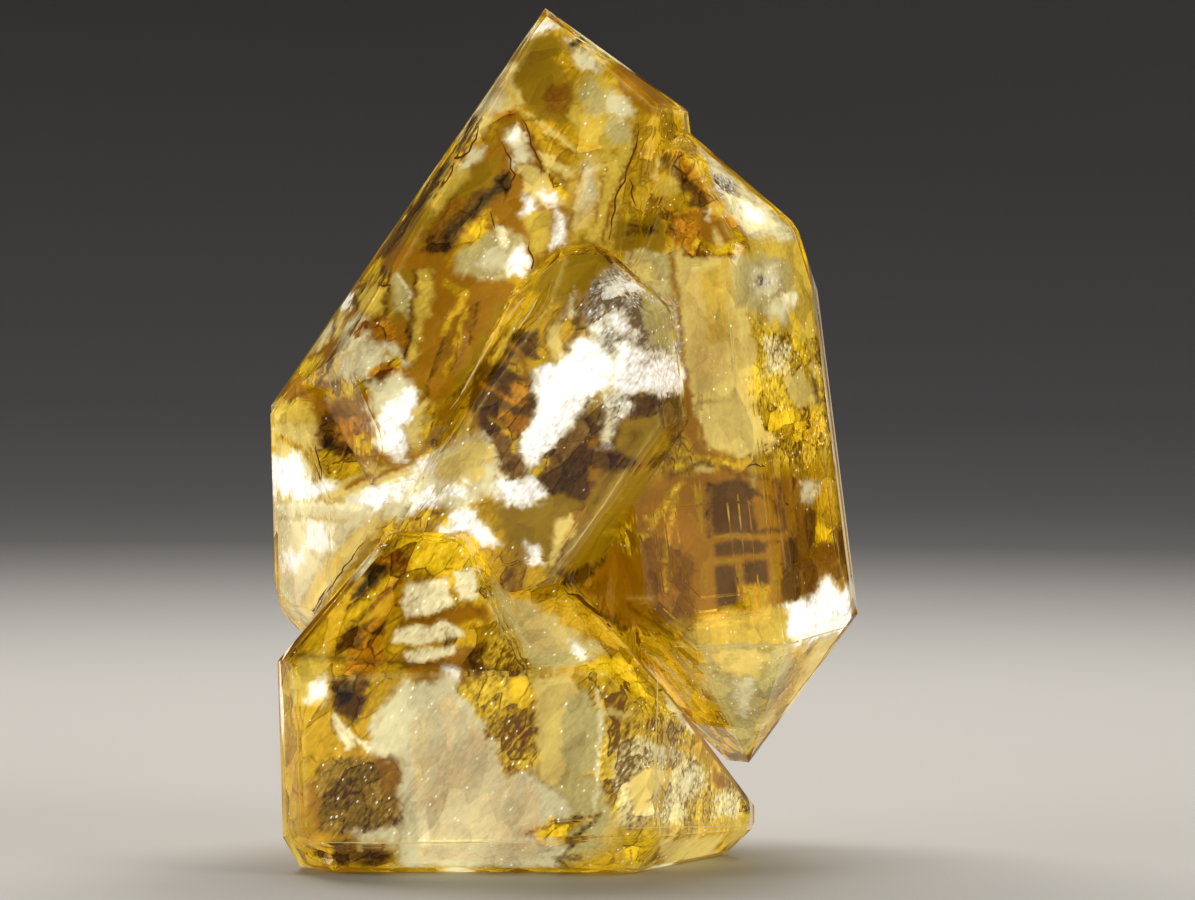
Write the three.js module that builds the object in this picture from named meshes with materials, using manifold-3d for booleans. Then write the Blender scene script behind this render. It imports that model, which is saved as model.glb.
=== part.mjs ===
// A cluster of window quartz crystals grown into one another, in millimetres, +Z up, front towards -Y.
// Each crystal is a convex body bounded by flat faces, and the whole cluster is one closed solid.
import * as THREE from "three";
import { ConvexGeometry } from "three/addons/geometries/ConvexGeometry.js";
import { mergeVertices } from "three/addons/utils/BufferGeometryUtils.js";
import Module from "manifold-3d";

const wasm = await Module();
wasm.setup();

// Quartz: six prism faces 60 degrees apart, and pyramid faces that lean 38.2 degrees from the long axis.
const prismStep = 60;
const pyramidSlope = 38.2;
const ringSlopes = { prism: 0, top: pyramidSlope, bottom: -pyramidSlope };
// The reach of a face that the crystal doesn't show.
const none = Infinity;
// The cluster ends in a flat foot at this height and stands on it.
const footHeight = 0;

// A face is given by its turn from the front of its crystal towards the right, its slope up from the
// girdle and its reach from the crystal's centre. Prism, top and bottom list the reach of the six
// regular faces from the front one round to the right, and others are faces at angles of their own.
const tallCrystal = {
  centre: [0, 5, 45],
  lean: 8,
  nod: 8,
  spin: 0,
  prism: [17, 11.6, 15.5, 17, 27.3, 24.1],
  top: [none, none, none, 29, none, none],
  bottom: [13.3, 28, 27, 24, 26, 26],
  others: [
    { turn: 0, slope: 31, reach: 15.4 },
    { turn: 0, slope: 62, reach: 31.5 },
    { turn: 76, slope: 46.7, reach: 29 },
    { turn: 125, slope: 39.4, reach: 28.6 },
    { turn: -80, slope: 42.3, reach: 23 },
    { turn: -125, slope: 35.7, reach: 22.9 },
  ],
};
const sideCrystal = {
  centre: [14, 4, 38],
  lean: 8,
  nod: 7,
  spin: -8,
  prism: [11.1, 11.2, 11.4, 12, 11, 11],
  top: [22.1, 22.8, 22.2, 23.6, 20, 20],
  bottom: [18.5, 18.8, 18.9, 23, 22, none],
  others: [
    { turn: -60, slope: -31.6, reach: 15.5 },
    { turn: 28, slope: 24, reach: 20.3 },
    { turn: 94, slope: 0, reach: 12.8 },
    { turn: 104, slope: 14, reach: 15.8 },
  ],
};
const middleCrystal = {
  centre: [0, -4, 42],
  lean: 8,
  nod: 9,
  spin: 0,
  prism: [9.1, 12.7, 14, 8, 24, 20],
  top: [16.1, 17.1, none, 7, none, 12.5],
  bottom: [15.2, 9.6, 24, 30, 30, 30],
  others: [
    { turn: 85, slope: 0, reach: 12.1 },
    { turn: 105, slope: pyramidSlope, reach: 14.7 },
    { turn: -90, slope: 35.2, reach: 11.2 },
    { turn: 90, slope: -pyramidSlope, reach: 9.3 },
  ],
};
const lowCrystal = {
  centre: [-16, 2, 34],
  lean: 1.5,
  nod: 4,
  spin: 0,
  prism: [11.1, 20, 20, 12, 11.3, 11.3],
  top: [10.1, none, none, 20, 15.6, none],
  bottom: [26, none, none, 26, 15.2, 14.5],
  others: [
    { turn: -70, slope: pyramidSlope, reach: 15.6 },
    { turn: -90, slope: -12, reach: 14.2 },
    { turn: 0, slope: 70, reach: 12 },
  ],
};
const footCrystal = {
  centre: [-5, 0, 0],
  lean: 2,
  nod: 0,
  spin: 0,
  prism: [15.6, 20, 21.5, 14, 12.7, 24.8],
  top: [24.2, 24.7, none, 36, 22.7, 32.4],
  bottom: [none, none, none, none, none, none],
  others: [
    { turn: 97, slope: pyramidSlope, reach: 21.3 },
    { turn: 0, slope: -42, reach: 9.5 },
    { turn: -45, slope: -40, reach: 15.8 },
    { turn: 55, slope: -45, reach: 12.1 },
    { turn: 110, slope: -42, reach: 15.5 },
  ],
};
const footShoulder = {
  centre: [-5, 0, 0],
  lean: 2,
  nod: 0,
  spin: 0,
  prism: [15.6, 10, none, 10, 12.7, 24.8],
  top: [none, none, none, none, 22.7, 32.4],
  bottom: [none, none, none, none, none, none],
  others: [
    { turn: -4, slope: 8, reach: 18 },
    { turn: 66, slope: 26, reach: 16 },
    { turn: 10, slope: 68, reach: 34.3 },
    { turn: 0, slope: -42, reach: 9.5 },
    { turn: -45, slope: -40, reach: 15.8 },
  ],
};
const crystals = [
  tallCrystal,
  sideCrystal,
  middleCrystal,
  lowCrystal,
  footCrystal,
  footShoulder,
];

// Terraces follow the outline of one regular face, named by its ring and its place in it. Each step
// gives the inset from the edges of the face and the height above it, or below it where the crystal
// grew hollow like a framed window. Cuts end a terrace along the crystal's long axis.
const terraces = [
  { crystal: tallCrystal, ring: "prism", place: 3, cuts: [], steps: [[2.5, 0.35], [5.5, 0.7]] },
  { crystal: tallCrystal, ring: "prism", place: 4, cuts: [], steps: [[1.8, 0.3]] },
  { crystal: tallCrystal, ring: "prism", place: 3, cuts: [], steps: [[8.5, -0.5], [10.5, -1.4]] },
  { crystal: sideCrystal, ring: "prism", place: 3, cuts: [], steps: [[1.5, 0.3], [3, 0.55]] },
  { crystal: sideCrystal, ring: "prism", place: 2, cuts: [], steps: [[1.4, 0.3]] },
  { crystal: footCrystal, ring: "prism", place: 3, cuts: [], steps: [[2.4, 0.4]] },
  {
    crystal: middleCrystal,
    ring: "prism",
    place: 0,
    cuts: [{ turn: 0, slope: 90, reach: 0.5 }],
    steps: [[1.4, 0.25]],
  },
  {
    crystal: sideCrystal,
    ring: "prism",
    place: 0,
    cuts: [
      { turn: 0, slope: 90, reach: -1.6 },
      { turn: 0, slope: -90, reach: 12.6 },
    ],
    steps: [[1.6, -0.3], [2.6, -0.6], [3.7, -0.9]],
  },
  {
    crystal: sideCrystal,
    ring: "prism",
    place: 1,
    cuts: [
      { turn: 0, slope: 90, reach: 3.5 },
      { turn: 0, slope: -90, reach: 9 },
    ],
    steps: [[1.7, -0.3], [3, -0.6]],
  },
];

// Each chip is a shallow scoop with a hackly floor, given by its middle, half sizes and turn.
const chips = [
  { at: [0.2, -16.3, 4.4], size: [3.6, 1.1, 1.3], turn: 4 },
  { at: [18.6, -1.2, 4.4], size: [1.5, 1.6, 1.8], turn: 40 },
  { at: [-23.6, -14, 1.2], size: [2.4, 1.6, 1.2], turn: -30 },
  { at: [1.6, -0.2, 79.2], size: [1.3, 0.7, 0.9], turn: 20 },
  { at: [12.6, 1.4, 71.2], size: [1.1, 1.6, 1.2], turn: 0 },
  { at: [29.3, 2.6, 21.6], size: [0.9, 1.6, 1.8], turn: 10 },
  { at: [8.9, -15.4, 13.5], size: [0.9, 0.9, 3.2], turn: 30 },
  { at: [-18.2, -13.6, 31.6], size: [2.2, 1.2, 0.9], turn: -10 },
  { at: [17.6, 9.4, 7.2], size: [1.2, 1.2, 1], turn: 0 },
];

// The outward direction of a face in the cluster's frame.
function faceDirection(crystal, face) {
  const round = THREE.MathUtils.degToRad(face.turn);
  const rise = THREE.MathUtils.degToRad(face.slope);
  const direction = new THREE.Vector3(
    Math.cos(rise) * Math.sin(round),
    -Math.cos(rise) * Math.cos(round),
    Math.sin(rise),
  );
  direction.applyAxisAngle(new THREE.Vector3(1, 0, 0), THREE.MathUtils.degToRad(crystal.nod));
  direction.applyAxisAngle(new THREE.Vector3(0, 1, 0), -THREE.MathUtils.degToRad(crystal.lean));
  return direction;
}

function facePlane(crystal, face) {
  const direction = faceDirection(crystal, face);
  const centre = new THREE.Vector3(...crystal.centre);
  return new THREE.Plane(direction, -(face.reach + direction.dot(centre)));
}

function regularFace(crystal, ring, place) {
  const turn = crystal.spin + place * prismStep;
  return { turn, slope: ringSlopes[ring], reach: crystal[ring][place] };
}

function facesOf(crystal) {
  const regular = Object.keys(ringSlopes).flatMap((ring) =>
    crystal[ring].map((reach, place) => regularFace(crystal, ring, place)),
  );
  return [...regular, ...crystal.others].filter((face) => face.reach !== none);
}

// The point where three planes meet, or null where they don't.
function meetingPoint(a, b, c) {
  const acrossBC = new THREE.Vector3().crossVectors(b.normal, c.normal);
  const spread = a.normal.dot(acrossBC);
  if (Math.abs(spread) < 1e-6) return null;
  const acrossCA = new THREE.Vector3().crossVectors(c.normal, a.normal);
  const acrossAB = new THREE.Vector3().crossVectors(a.normal, b.normal);
  return new THREE.Vector3()
    .addScaledVector(acrossBC, -a.constant)
    .addScaledVector(acrossCA, -b.constant)
    .addScaledVector(acrossAB, -c.constant)
    .divideScalar(spread);
}

// The corners of the convex body inside a set of planes, each once.
function cornersInside(planes) {
  const corners = [];
  for (let i = 0; i < planes.length; i++)
    for (let j = i + 1; j < planes.length; j++)
      for (let k = j + 1; k < planes.length; k++) {
        const point = meetingPoint(planes[i], planes[j], planes[k]);
        if (point === null) continue;
        if (planes.some((plane) => plane.distanceToPoint(point) > 1e-4)) continue;
        if (corners.some((corner) => corner.distanceTo(point) < 1e-3)) continue;
        corners.push(point);
      }
  return corners;
}

// A closed three.js geometry as a solid that can be joined and cut.
function solidFrom(geometry) {
  const bare = new THREE.BufferGeometry();
  bare.setAttribute("position", geometry.getAttribute("position"));
  const merged = mergeVertices(bare, 1e-4);
  const mesh = new wasm.Mesh({
    numProp: 3,
    vertProperties: merged.getAttribute("position").array,
    triVerts: new Uint32Array(merged.index.array),
  });
  return new wasm.Manifold(mesh);
}

// The convex body inside a set of planes, cut off flat at the foot.
function convexSolid(planes) {
  const foot = new THREE.Plane(new THREE.Vector3(0, 0, -1), footHeight);
  return solidFrom(new ConvexGeometry(cornersInside([...planes, foot])));
}

function crystalSolid(crystal) {
  return convexSolid(facesOf(crystal).map((face) => facePlane(crystal, face)));
}

// The slab of one step, which reaches a little past the face so that it joins or cuts cleanly.
function stepSolid(terrace, inset, height) {
  const { crystal, ring, place, cuts } = terrace;
  const overlap = 1;
  const face = regularFace(crystal, ring, place);
  const sides = facesOf(crystal)
    .filter((side) => side.turn !== face.turn || side.slope !== face.slope)
    .map((side) => ({ ...side, reach: side.reach - inset }));
  const outer = { ...face, reach: face.reach + (height > 0 ? height : overlap) };
  const inner = { ...face, reach: face.reach + (height > 0 ? -overlap : height) };
  const planes = [...sides, ...cuts, outer].map((side) => facePlane(crystal, side));
  planes.push(facePlane(crystal, inner).negate());
  return convexSolid(planes);
}

function chipSolid(chip) {
  const scoop = new THREE.IcosahedronGeometry(1, 1);
  scoop.scale(...chip.size);
  scoop.rotateZ(THREE.MathUtils.degToRad(chip.turn));
  scoop.translate(...chip.at);
  return solidFrom(scoop);
}

function clusterSolid() {
  let solid = crystals.map(crystalSolid).reduce((joined, next) => joined.add(next));
  for (const terrace of terraces)
    for (const [inset, height] of terrace.steps) {
      const slab = stepSolid(terrace, inset, height);
      solid = height > 0 ? solid.add(slab) : solid.subtract(slab);
    }
  for (const chip of chips) solid = solid.subtract(chipSolid(chip));
  return solid;
}

// A solid as a flat-faced three.js geometry.
function geometryFrom(solid) {
  const mesh = solid.getMesh();
  const indexed = new THREE.BufferGeometry();
  indexed.setAttribute("position", new THREE.BufferAttribute(mesh.vertProperties, 3));
  indexed.setIndex(new THREE.BufferAttribute(mesh.triVerts, 1));
  const geometry = indexed.toNonIndexed();
  geometry.computeVertexNormals();
  return geometry;
}

const goldenQuartz = new THREE.MeshStandardMaterial({
  color: 0xd9b04a,
  roughness: 0.08,
  metalness: 0,
});
// The cluster stands centred over the origin.
const clusterGeometry = geometryFrom(clusterSolid());
clusterGeometry.computeBoundingBox();
const middle = clusterGeometry.boundingBox.getCenter(new THREE.Vector3());
clusterGeometry.translate(-middle.x, -middle.y, 0);
const quartzCluster = new THREE.Mesh(clusterGeometry, goldenQuartz);
quartzCluster.name = "quartz_cluster";

const part = new THREE.Group();
part.add(quartzCluster);
export default part;
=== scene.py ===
import bmesh
import bpy
import math
import random
import numpy as np
from mathutils import Euler, Matrix, Vector, geometry, noise
from mathutils.bvhtree import BVHTree
from mathutils.kdtree import KDTree


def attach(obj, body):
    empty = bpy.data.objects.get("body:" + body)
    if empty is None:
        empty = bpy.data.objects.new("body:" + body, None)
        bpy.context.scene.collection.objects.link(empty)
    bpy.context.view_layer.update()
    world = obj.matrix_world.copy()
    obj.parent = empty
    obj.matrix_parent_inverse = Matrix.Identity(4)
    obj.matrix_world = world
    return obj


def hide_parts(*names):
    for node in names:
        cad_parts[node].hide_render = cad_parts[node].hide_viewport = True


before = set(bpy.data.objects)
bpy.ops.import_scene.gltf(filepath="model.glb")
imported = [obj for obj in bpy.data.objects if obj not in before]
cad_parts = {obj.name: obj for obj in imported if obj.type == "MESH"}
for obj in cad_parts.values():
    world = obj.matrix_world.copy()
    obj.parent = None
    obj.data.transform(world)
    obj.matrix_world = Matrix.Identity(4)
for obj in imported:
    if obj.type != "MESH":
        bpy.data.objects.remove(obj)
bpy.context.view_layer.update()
mm = 0.001
noise.seed_set(7)  # noise_vector would follow the clock without it

# the front view: what lies inside the front faces is laid out in it, in units close to a millimetre
frontView = {
    "aim": (3.4, -4.3, 40.0),  # mm, the point the camera looks at
    "distance": 380.0,  # mm
    "elevation": 1.5,  # degrees above level
    "roll": 0.4,  # degrees
    "lens": 116.3,  # mm
    "filmWidth": 36,  # mm
    "frame": (119.5, 90.0),  # view units across and down, from the upper left corner
}


class Wire:
    # a socket that can be added, multiplied and so on, each sum a Math node
    def __init__(self, paint, socket):
        self.paint = paint
        self.socket = socket

    def sum(self, operation, first, second):
        return self.paint.node("ShaderNodeMath", {"operation": operation}, {0: first, 1: second})

    def __add__(self, other):
        return self.sum("ADD", self, other)

    __radd__ = __add__

    def __sub__(self, other):
        return self.sum("SUBTRACT", self, other)

    def __rsub__(self, other):
        return self.sum("SUBTRACT", other, self)

    def __mul__(self, other):
        return self.sum("MULTIPLY", self, other)

    __rmul__ = __mul__

    def beside(self, out):
        # another output of the same node
        return Wire(self.paint, self.socket.node.outputs[out])


class Paint:
    # one material and its nodes
    def __init__(self, name):
        self.material = bpy.data.materials.new(name)
        self.material.use_nodes = True
        self.tree = self.material.node_tree
        self.tree.nodes.clear()

    def node(self, kind, settings=None, sockets=None, out=0):
        made = self.tree.nodes.new(kind)
        for key, value in (settings or {}).items():
            setattr(made, key, value)
        for key, value in (sockets or {}).items():
            socket = made.inputs[key]
            if isinstance(value, Wire):
                self.tree.links.new(value.socket, socket)
            elif isinstance(value, tuple) and len(value) == 3 and socket.type == "RGBA":
                socket.default_value = (*value, 1)
            else:
                socket.default_value = value
        return Wire(self, made.outputs[out])

    def clamp(self, value):
        return self.node("ShaderNodeClamp", {}, {0: value})

    def spread(self, value, low, high):
        return self.node("ShaderNodeMapRange", {}, {"Value": value, "From Min": low, "From Max": high})

    def place(self):
        return self.node("ShaderNodeTexCoord", {}, {}, out=3)

    def layer(self, name, out=2):
        return self.node("ShaderNodeAttribute", {"attribute_name": name}, {}, out=out)

    def noise(self, where, scale, detail, out=0):
        sockets = {"Vector": where, "Scale": scale, "Detail": detail}
        return self.node("ShaderNodeTexNoise", {}, sockets, out=out)

    def cells(self, where, scale, feature="F1", out=0):
        sockets = {"Vector": where, "Scale": scale}
        return self.node("ShaderNodeTexVoronoi", {"feature": feature}, sockets, out=out)

    def mixColour(self, amount, first, second, blend="MIX", capped=False):
        settings = {"data_type": "RGBA", "blend_type": blend, "clamp_factor": True, "clamp_result": capped}
        return self.node("ShaderNodeMix", settings, {0: amount, 6: first, 7: second}, out=2)

    def scaled(self, vector, amount):
        return self.node("ShaderNodeVectorMath", {"operation": "SCALE"}, {0: vector, 3: amount})

    def shifted(self, vector, other):
        return self.node("ShaderNodeVectorMath", {"operation": "ADD"}, {0: vector, 1: other})

    def bump(self, height, strength, distance):
        sockets = {"Strength": strength, "Distance": distance, "Height": height}
        return self.node("ShaderNodeBump", {}, sockets)

    def lit(self, colour, amount):
        # what a surface gives off, from none of its colour at 0 to all of it at 1
        return self.mixColour(amount, (0.0, 0.0, 0.0), colour)

    def finish(self, surface, volume=None):
        end = self.tree.nodes.new("ShaderNodeOutputMaterial")
        self.tree.links.new(surface.socket, end.inputs["Surface"])
        if volume is not None:
            self.tree.links.new(volume.socket, end.inputs["Volume"])
        return self.material


class View:
    # lays the flat front drawing onto the crystals: turns its spots into rays, and points into spots
    def __init__(self, look):
        tilt = math.radians(look["elevation"])
        roll = math.radians(look["roll"])
        self.forward = Vector((0, math.cos(tilt), -math.sin(tilt)))
        up = Vector((0, math.sin(tilt), math.cos(tilt)))
        right = Vector((1, 0, 0))
        self.right = right * math.cos(roll) + up * math.sin(roll)
        self.up = up * math.cos(roll) - right * math.sin(roll)
        self.eye = Vector(look["aim"]) * mm - self.forward * look["distance"] * mm
        self.scale = look["lens"] / look["filmWidth"] * look["frame"][0]
        self.middle = (look["frame"][0] / 2, look["frame"][1] / 2)

    def ray(self, across, down):
        side = self.right * ((across - self.middle[0]) / self.scale)
        rise = self.up * ((self.middle[1] - down) / self.scale)
        return self.eye, (self.forward + side + rise).normalized()

    def spots(self, points):
        away = points - np.array(self.eye)
        depth = away @ np.array(self.forward)
        across = self.middle[0] + self.scale * (away @ np.array(self.right)) / depth
        down = self.middle[1] - self.scale * (away @ np.array(self.up)) / depth
        return np.stack([across, down], axis=1)


front = View(frontView)


def addCamera(look):
    data = bpy.data.cameras.new("frontCamera")
    data.lens = look["lens"]
    data.sensor_width = look["filmWidth"]
    data.clip_start = 10 * mm
    data.clip_end = 20
    camera = bpy.data.objects.new("frontCamera", data)
    bpy.context.scene.collection.objects.link(camera)
    turn = Matrix((front.right, front.up, -front.forward)).transposed()
    camera.matrix_world = Matrix.Translation(front.eye) @ turn.to_4x4()
    bpy.context.scene.camera = camera


studio = {
    "floorColour": (0.60, 0.58, 0.55),
    "wallColour": (0.20, 0.20, 0.21),
    "floorDrop": 0.2,  # mm below the foot
    "floorRadius": 0.62,  # metres of level floor before it sweeps up
    "sweepRadius": 0.45,
    "sweepHeight": 1.1,
    "sides": 72,
    "paintedLightPool": (0.2, 0.8),  # metres from the cluster between which the painted pool of light on the floor dims to the wall's dark colour
    "patchy": 0.06,
    "roughness": 0.65,
    "lampAim": (0, 0, 42),  # mm
    "worldColour": (0.82, 0.75, 0.66),
    "worldStrength": 0.12,
    # name, place in mm, size in mm, watts, colour; each faces the cluster
    "lamps": [
        ("keyLamp", (-540, -150, 190), 300, 0.8, (1.0, 0.97, 0.93)),
        ("fillLamp", (480, -180, 330), 280, 0.8, (1.0, 0.97, 0.92)),
        ("backLampLeft", (-250, 210, 507), 250, 1.2, (1.0, 0.96, 0.9)),
        ("backLampRight", (170, 300, 500), 260, 1.2, (1.0, 0.96, 0.9)),
        ("topLamp", (0, 210, 540), 300, 1.0, (1.0, 1.0, 1.0)),
    ],
}


def addAir(look):
    world = bpy.data.worlds.new("studioAir")
    bpy.context.scene.world = world
    world.use_nodes = True
    air = world.node_tree.nodes["Background"]
    air.inputs["Color"].default_value = (*look["worldColour"], 1)
    air.inputs["Strength"].default_value = look["worldStrength"]


def addLamp(look, name, place, size, watts, colour):
    data = bpy.data.lights.new(name, "AREA")
    data.shape = "DISK"
    data.size = size * mm
    data.energy = watts
    data.color = colour
    lamp = bpy.data.objects.new(name, data)
    bpy.context.scene.collection.objects.link(lamp)
    lamp.location = Vector(place) * mm
    aim = Vector(look["lampAim"]) * mm - lamp.location
    lamp.rotation_euler = aim.to_track_quat("-Z", "Y").to_euler()
    lamp.visible_camera = False


def floorMesh(look):
    # a level round floor that sweeps up into a wall all round
    sweep = look["sweepRadius"]
    rings = [(radius, 0.0) for radius in np.linspace(0.0, look["floorRadius"], 6)[1:]]
    for turn in np.linspace(0, math.pi / 2, 10)[1:]:
        rings.append((look["floorRadius"] + sweep * math.sin(turn), sweep * (1 - math.cos(turn))))
    rings.append((rings[-1][0], look["sweepHeight"]))
    turns = [k * math.tau / look["sides"] for k in range(look["sides"])]
    bm = bmesh.new()
    centre = bm.verts.new((0, 0, 0))
    last = None
    for radius, height in rings:
        ring = [bm.verts.new((radius * math.cos(turn), radius * math.sin(turn), height)) for turn in turns]
        for k in range(len(ring)):
            after = (k + 1) % len(ring)
            if last is None:
                bm.faces.new((centre, ring[k], ring[after]))
            else:
                bm.faces.new((last[k], ring[k], ring[after], last[after]))
        last = ring
    mesh = bpy.data.meshes.new("studioFloor")
    bm.to_mesh(mesh)
    bm.free()
    mesh.shade_smooth()
    return mesh


def floorPaint(look):
    paint = Paint("studioFloor")
    place = paint.place()
    away = paint.node("ShaderNodeVectorMath", {"operation": "LENGTH"}, {0: place}, out=1)
    # painted pool of light: the floor is pale round the cluster and darker farther out, with random patches
    tone = paint.spread(away, *look["paintedLightPool"]) + paint.noise(place, 6, 3) * look["patchy"]
    colour = paint.mixColour(tone, look["floorColour"], look["wallColour"])
    sockets = {"Base Color": colour, "Roughness": look["roughness"]}
    return paint.finish(paint.node("ShaderNodeBsdfPrincipled", {}, sockets))


def addStudio(look):
    addAir(look)
    for lamp in look["lamps"]:
        addLamp(look, *lamp)
    mesh = floorMesh(look)
    floor = bpy.data.objects.new("studioFloor", mesh)
    bpy.context.scene.collection.objects.link(floor)
    floor.location.z = -look["floorDrop"] * mm
    mesh.materials.append(floorPaint(look))
    print("studio: floor and", len(look["lamps"]), "soft lamps")


body = {
    "weld": 0.02,  # mm, corners nearer than this are one
    "level": 1,  # degrees, faces closer to one plane than this are one
}


def clusterBody():
    # the cluster's solid as a bmesh with its flat faces whole
    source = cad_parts["quartz_cluster"]
    bm = bmesh.new()
    bm.from_mesh(source.data)
    bm.transform(source.matrix_world)
    bmesh.ops.remove_doubles(bm, verts=bm.verts, dist=body["weld"] * mm)
    level = math.radians(body["level"])
    bmesh.ops.dissolve_limit(bm, angle_limit=level, verts=bm.verts, edges=bm.edges)
    return bm


def fromStretch(spots, start, end):
    # how far each spot is from the straight stretch between two points
    px = spots[:, 0] - start[0]
    py = spots[:, 1] - start[1]
    sx = end[0] - start[0]
    sy = end[1] - start[1]
    along = np.clip((px * sx + py * sy) / max(sx * sx + sy * sy, 1e-9), 0, 1)
    return np.hypot(px - along * sx, py - along * sy)


def besideLine(spots, line):
    # how far each spot is from the line
    return np.min([fromStretch(spots, start, end) for start, end in zip(line, line[1:])], axis=0)


def insideBy(spots, outline):
    # how far inside the outline each spot is, negative outside
    shape = np.array([*outline, outline[0]], dtype=float)
    inside = np.zeros(len(spots), dtype=bool)
    for (ax, ay), (bx, by) in zip(shape, shape[1:]):
        crosses = (ay > spots[:, 1]) != (by > spots[:, 1])
        level = (spots[:, 1] - ay) / (by - ay if abs(by - ay) > 1e-9 else 1e-9)
        inside ^= crosses & (spots[:, 0] < ax + level * (bx - ax))
    away = besideLine(spots, shape)
    return np.where(inside, away, -away)


def edgeLines(bm, cellOf, points):
    # adds even points along every edge: gives each edge's first corner and the numbers of all its points
    lines = {}
    for edge in bm.edges:
        cell = min(cellOf(face) for face in edge.link_faces) * mm
        count = max(1, round(edge.calc_length() / cell))
        start, end = edge.verts
        between = range(len(points), len(points) + count - 1)
        points += [start.co.lerp(end.co, k / count) for k in range(1, count)]
        lines[edge.index] = (start.index, [start.index, *between, end.index])
    return lines


def faceTriangles(face, ring, cell, points):
    # fills one flat face inside its ring of points with even triangles, and adds the points they need
    side = (face.verts[1].co - face.verts[0].co).normalized()
    rise = face.normal.cross(side)
    origin = points[ring[0]]
    flat = [((points[k] - origin).dot(side) / cell, (points[k] - origin).dot(rise) / cell) for k in ring]
    low = np.min(flat, axis=0)
    high = np.max(flat, axis=0)
    rows = np.arange(low[1], high[1], 0.87)  # the height of an even triangle with sides of 1
    columns = np.arange(low[0], high[0], 1.0)
    grid = np.array([(x + (k % 2) * 0.5, y) for k, y in enumerate(rows) for x in columns])
    if len(grid):
        grid = grid[insideBy(grid, flat) > 0.45]  # keeps clear of the rim
    spots = [Vector(spot) for spot in (*flat, *grid)]
    made = geometry.delaunay_2d_cdt(spots, [], [list(range(len(ring)))], 1, 1e-7)
    number = {}
    for order, sources in enumerate(made[3]):
        kept = [k for k in sources if k < len(ring)]
        if kept:
            number[order] = ring[kept[0]]
        else:
            spot = made[0][order]
            number[order] = len(points)
            points.append(origin + side * (spot.x * cell) + rise * (spot.y * cell))
    triangles = [[number[k] for k in three] for three in made[2]]
    return [corners for corners in triangles if len(set(corners)) == 3]


def meshedFaces(bm, cellOf):
    # covers each flat face with even triangles: cellOf gives their size in mm for a face
    bm.normal_update()
    bm.verts.index_update()
    bm.edges.index_update()
    points = [vert.co.copy() for vert in bm.verts]
    lines = edgeLines(bm, cellOf, points)
    faces = []
    for face in bm.faces:
        ring = []
        for loop in face.loops:
            first, line = lines[loop.edge.index]
            ring += (line if first == loop.vert.index else line[::-1])[:-1]
        faces += faceTriangles(face, ring, cellOf(face) * mm, points)
    bm.free()
    return np.array([tuple(point) for point in points]), np.array(faces)


def faceNormals(points, faces):
    a, b, c = (points[faces[:, k]] for k in range(3))
    normals = np.cross(b - a, c - a)
    return normals / np.maximum(np.linalg.norm(normals, axis=1), 1e-12)[:, None]


def meshOf(name, points, faces):
    mesh = bpy.data.meshes.new(name)
    mesh.from_pydata([tuple(point) for point in points], [], faces.tolist())
    mesh.validate()  # drops doubled faces
    return mesh


def addPiece(name, mesh, material):
    piece = bpy.data.objects.new(name, mesh)
    bpy.context.scene.collection.objects.link(piece)
    mesh.materials.append(material)
    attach(piece, "root")
    print(name, len(mesh.polygons), "faces")
    return piece


skin = {
    "roundEdge": 0.13,  # mm, how far the crystal edges are worn round
    "edgeAngle": 14,  # degrees; flatter edges stay as they are
    "cell": 3.0,  # mm, mesh size
    "face": (1.0, 0.985, 0.95),
    "tint": (0.985, 0.88, 0.42),
    "tintDensity": 34.0,
    "ior": 1.544,
    "waves": 90,  # patches per metre, about
    "bump": 0.2,
    "bumpHeight": 0.15,  # mm
    "smears": 160,
    "roughness": (0.02, 0.1),
}


def quartzPaint(look):
    paint = Paint("clearGoldenQuartz")
    place = paint.place()
    low, high = look["roughness"]
    bump = paint.bump(paint.noise(place, look["waves"], 3), look["bump"], look["bumpHeight"] * mm)
    rough = paint.spread(paint.noise(place, look["smears"], 2), 0.4, 0.8) * (high - low) + low
    sockets = {"Base Color": look["face"], "Roughness": rough, "IOR": look["ior"], "Normal": bump}
    sockets["Transmission Weight"] = 1.0
    glass = paint.node("ShaderNodeBsdfPrincipled", {}, sockets)
    inside = {"Color": look["tint"], "Density": look["tintDensity"]}
    gold = paint.node("ShaderNodeVolumeAbsorption", {}, inside)
    return paint.finish(glass, gold)


def skinMesh(look):
    bm = clusterBody()
    least = math.radians(look["edgeAngle"])
    sharp = [edge for edge in bm.edges if edge.is_manifold and edge.calc_face_angle() > least]
    worn = {"offset": look["roundEdge"] * mm, "segments": 2, "profile": 0.6, "clamp_overlap": True}
    bmesh.ops.bevel(bm, geom=sharp, affect="EDGES", **worn)
    points, faces = meshedFaces(bm, lambda face: look["cell"])
    mesh = meshOf("crystalSkin", points, faces)
    bm = bmesh.new()
    bm.from_mesh(mesh)
    # closes the tiny gaps where many edges meet
    bmesh.ops.holes_fill(bm, edges=[edge for edge in bm.edges if edge.is_boundary], sides=0)
    bm.to_mesh(mesh)
    bm.free()
    return mesh


skinTree = BVHTree.FromBMesh(clusterBody())


def film(tint, mottle, grain, paintedGlow, paintedGlint, soft, rag):
    # how the quartz looks just under its faces: its colour, how patchy and grainy it is, how much painted
    # light it gives off and how many painted glint specks it has, how soft its edge is in mm and how ragged
    look = {"tint": tint, "mottle": mottle, "grain": grain, "paintedGlow": paintedGlow, "paintedGlint": paintedGlint}
    return {**look, "cover": 1.0, "soft": soft, "rag": rag}


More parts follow.
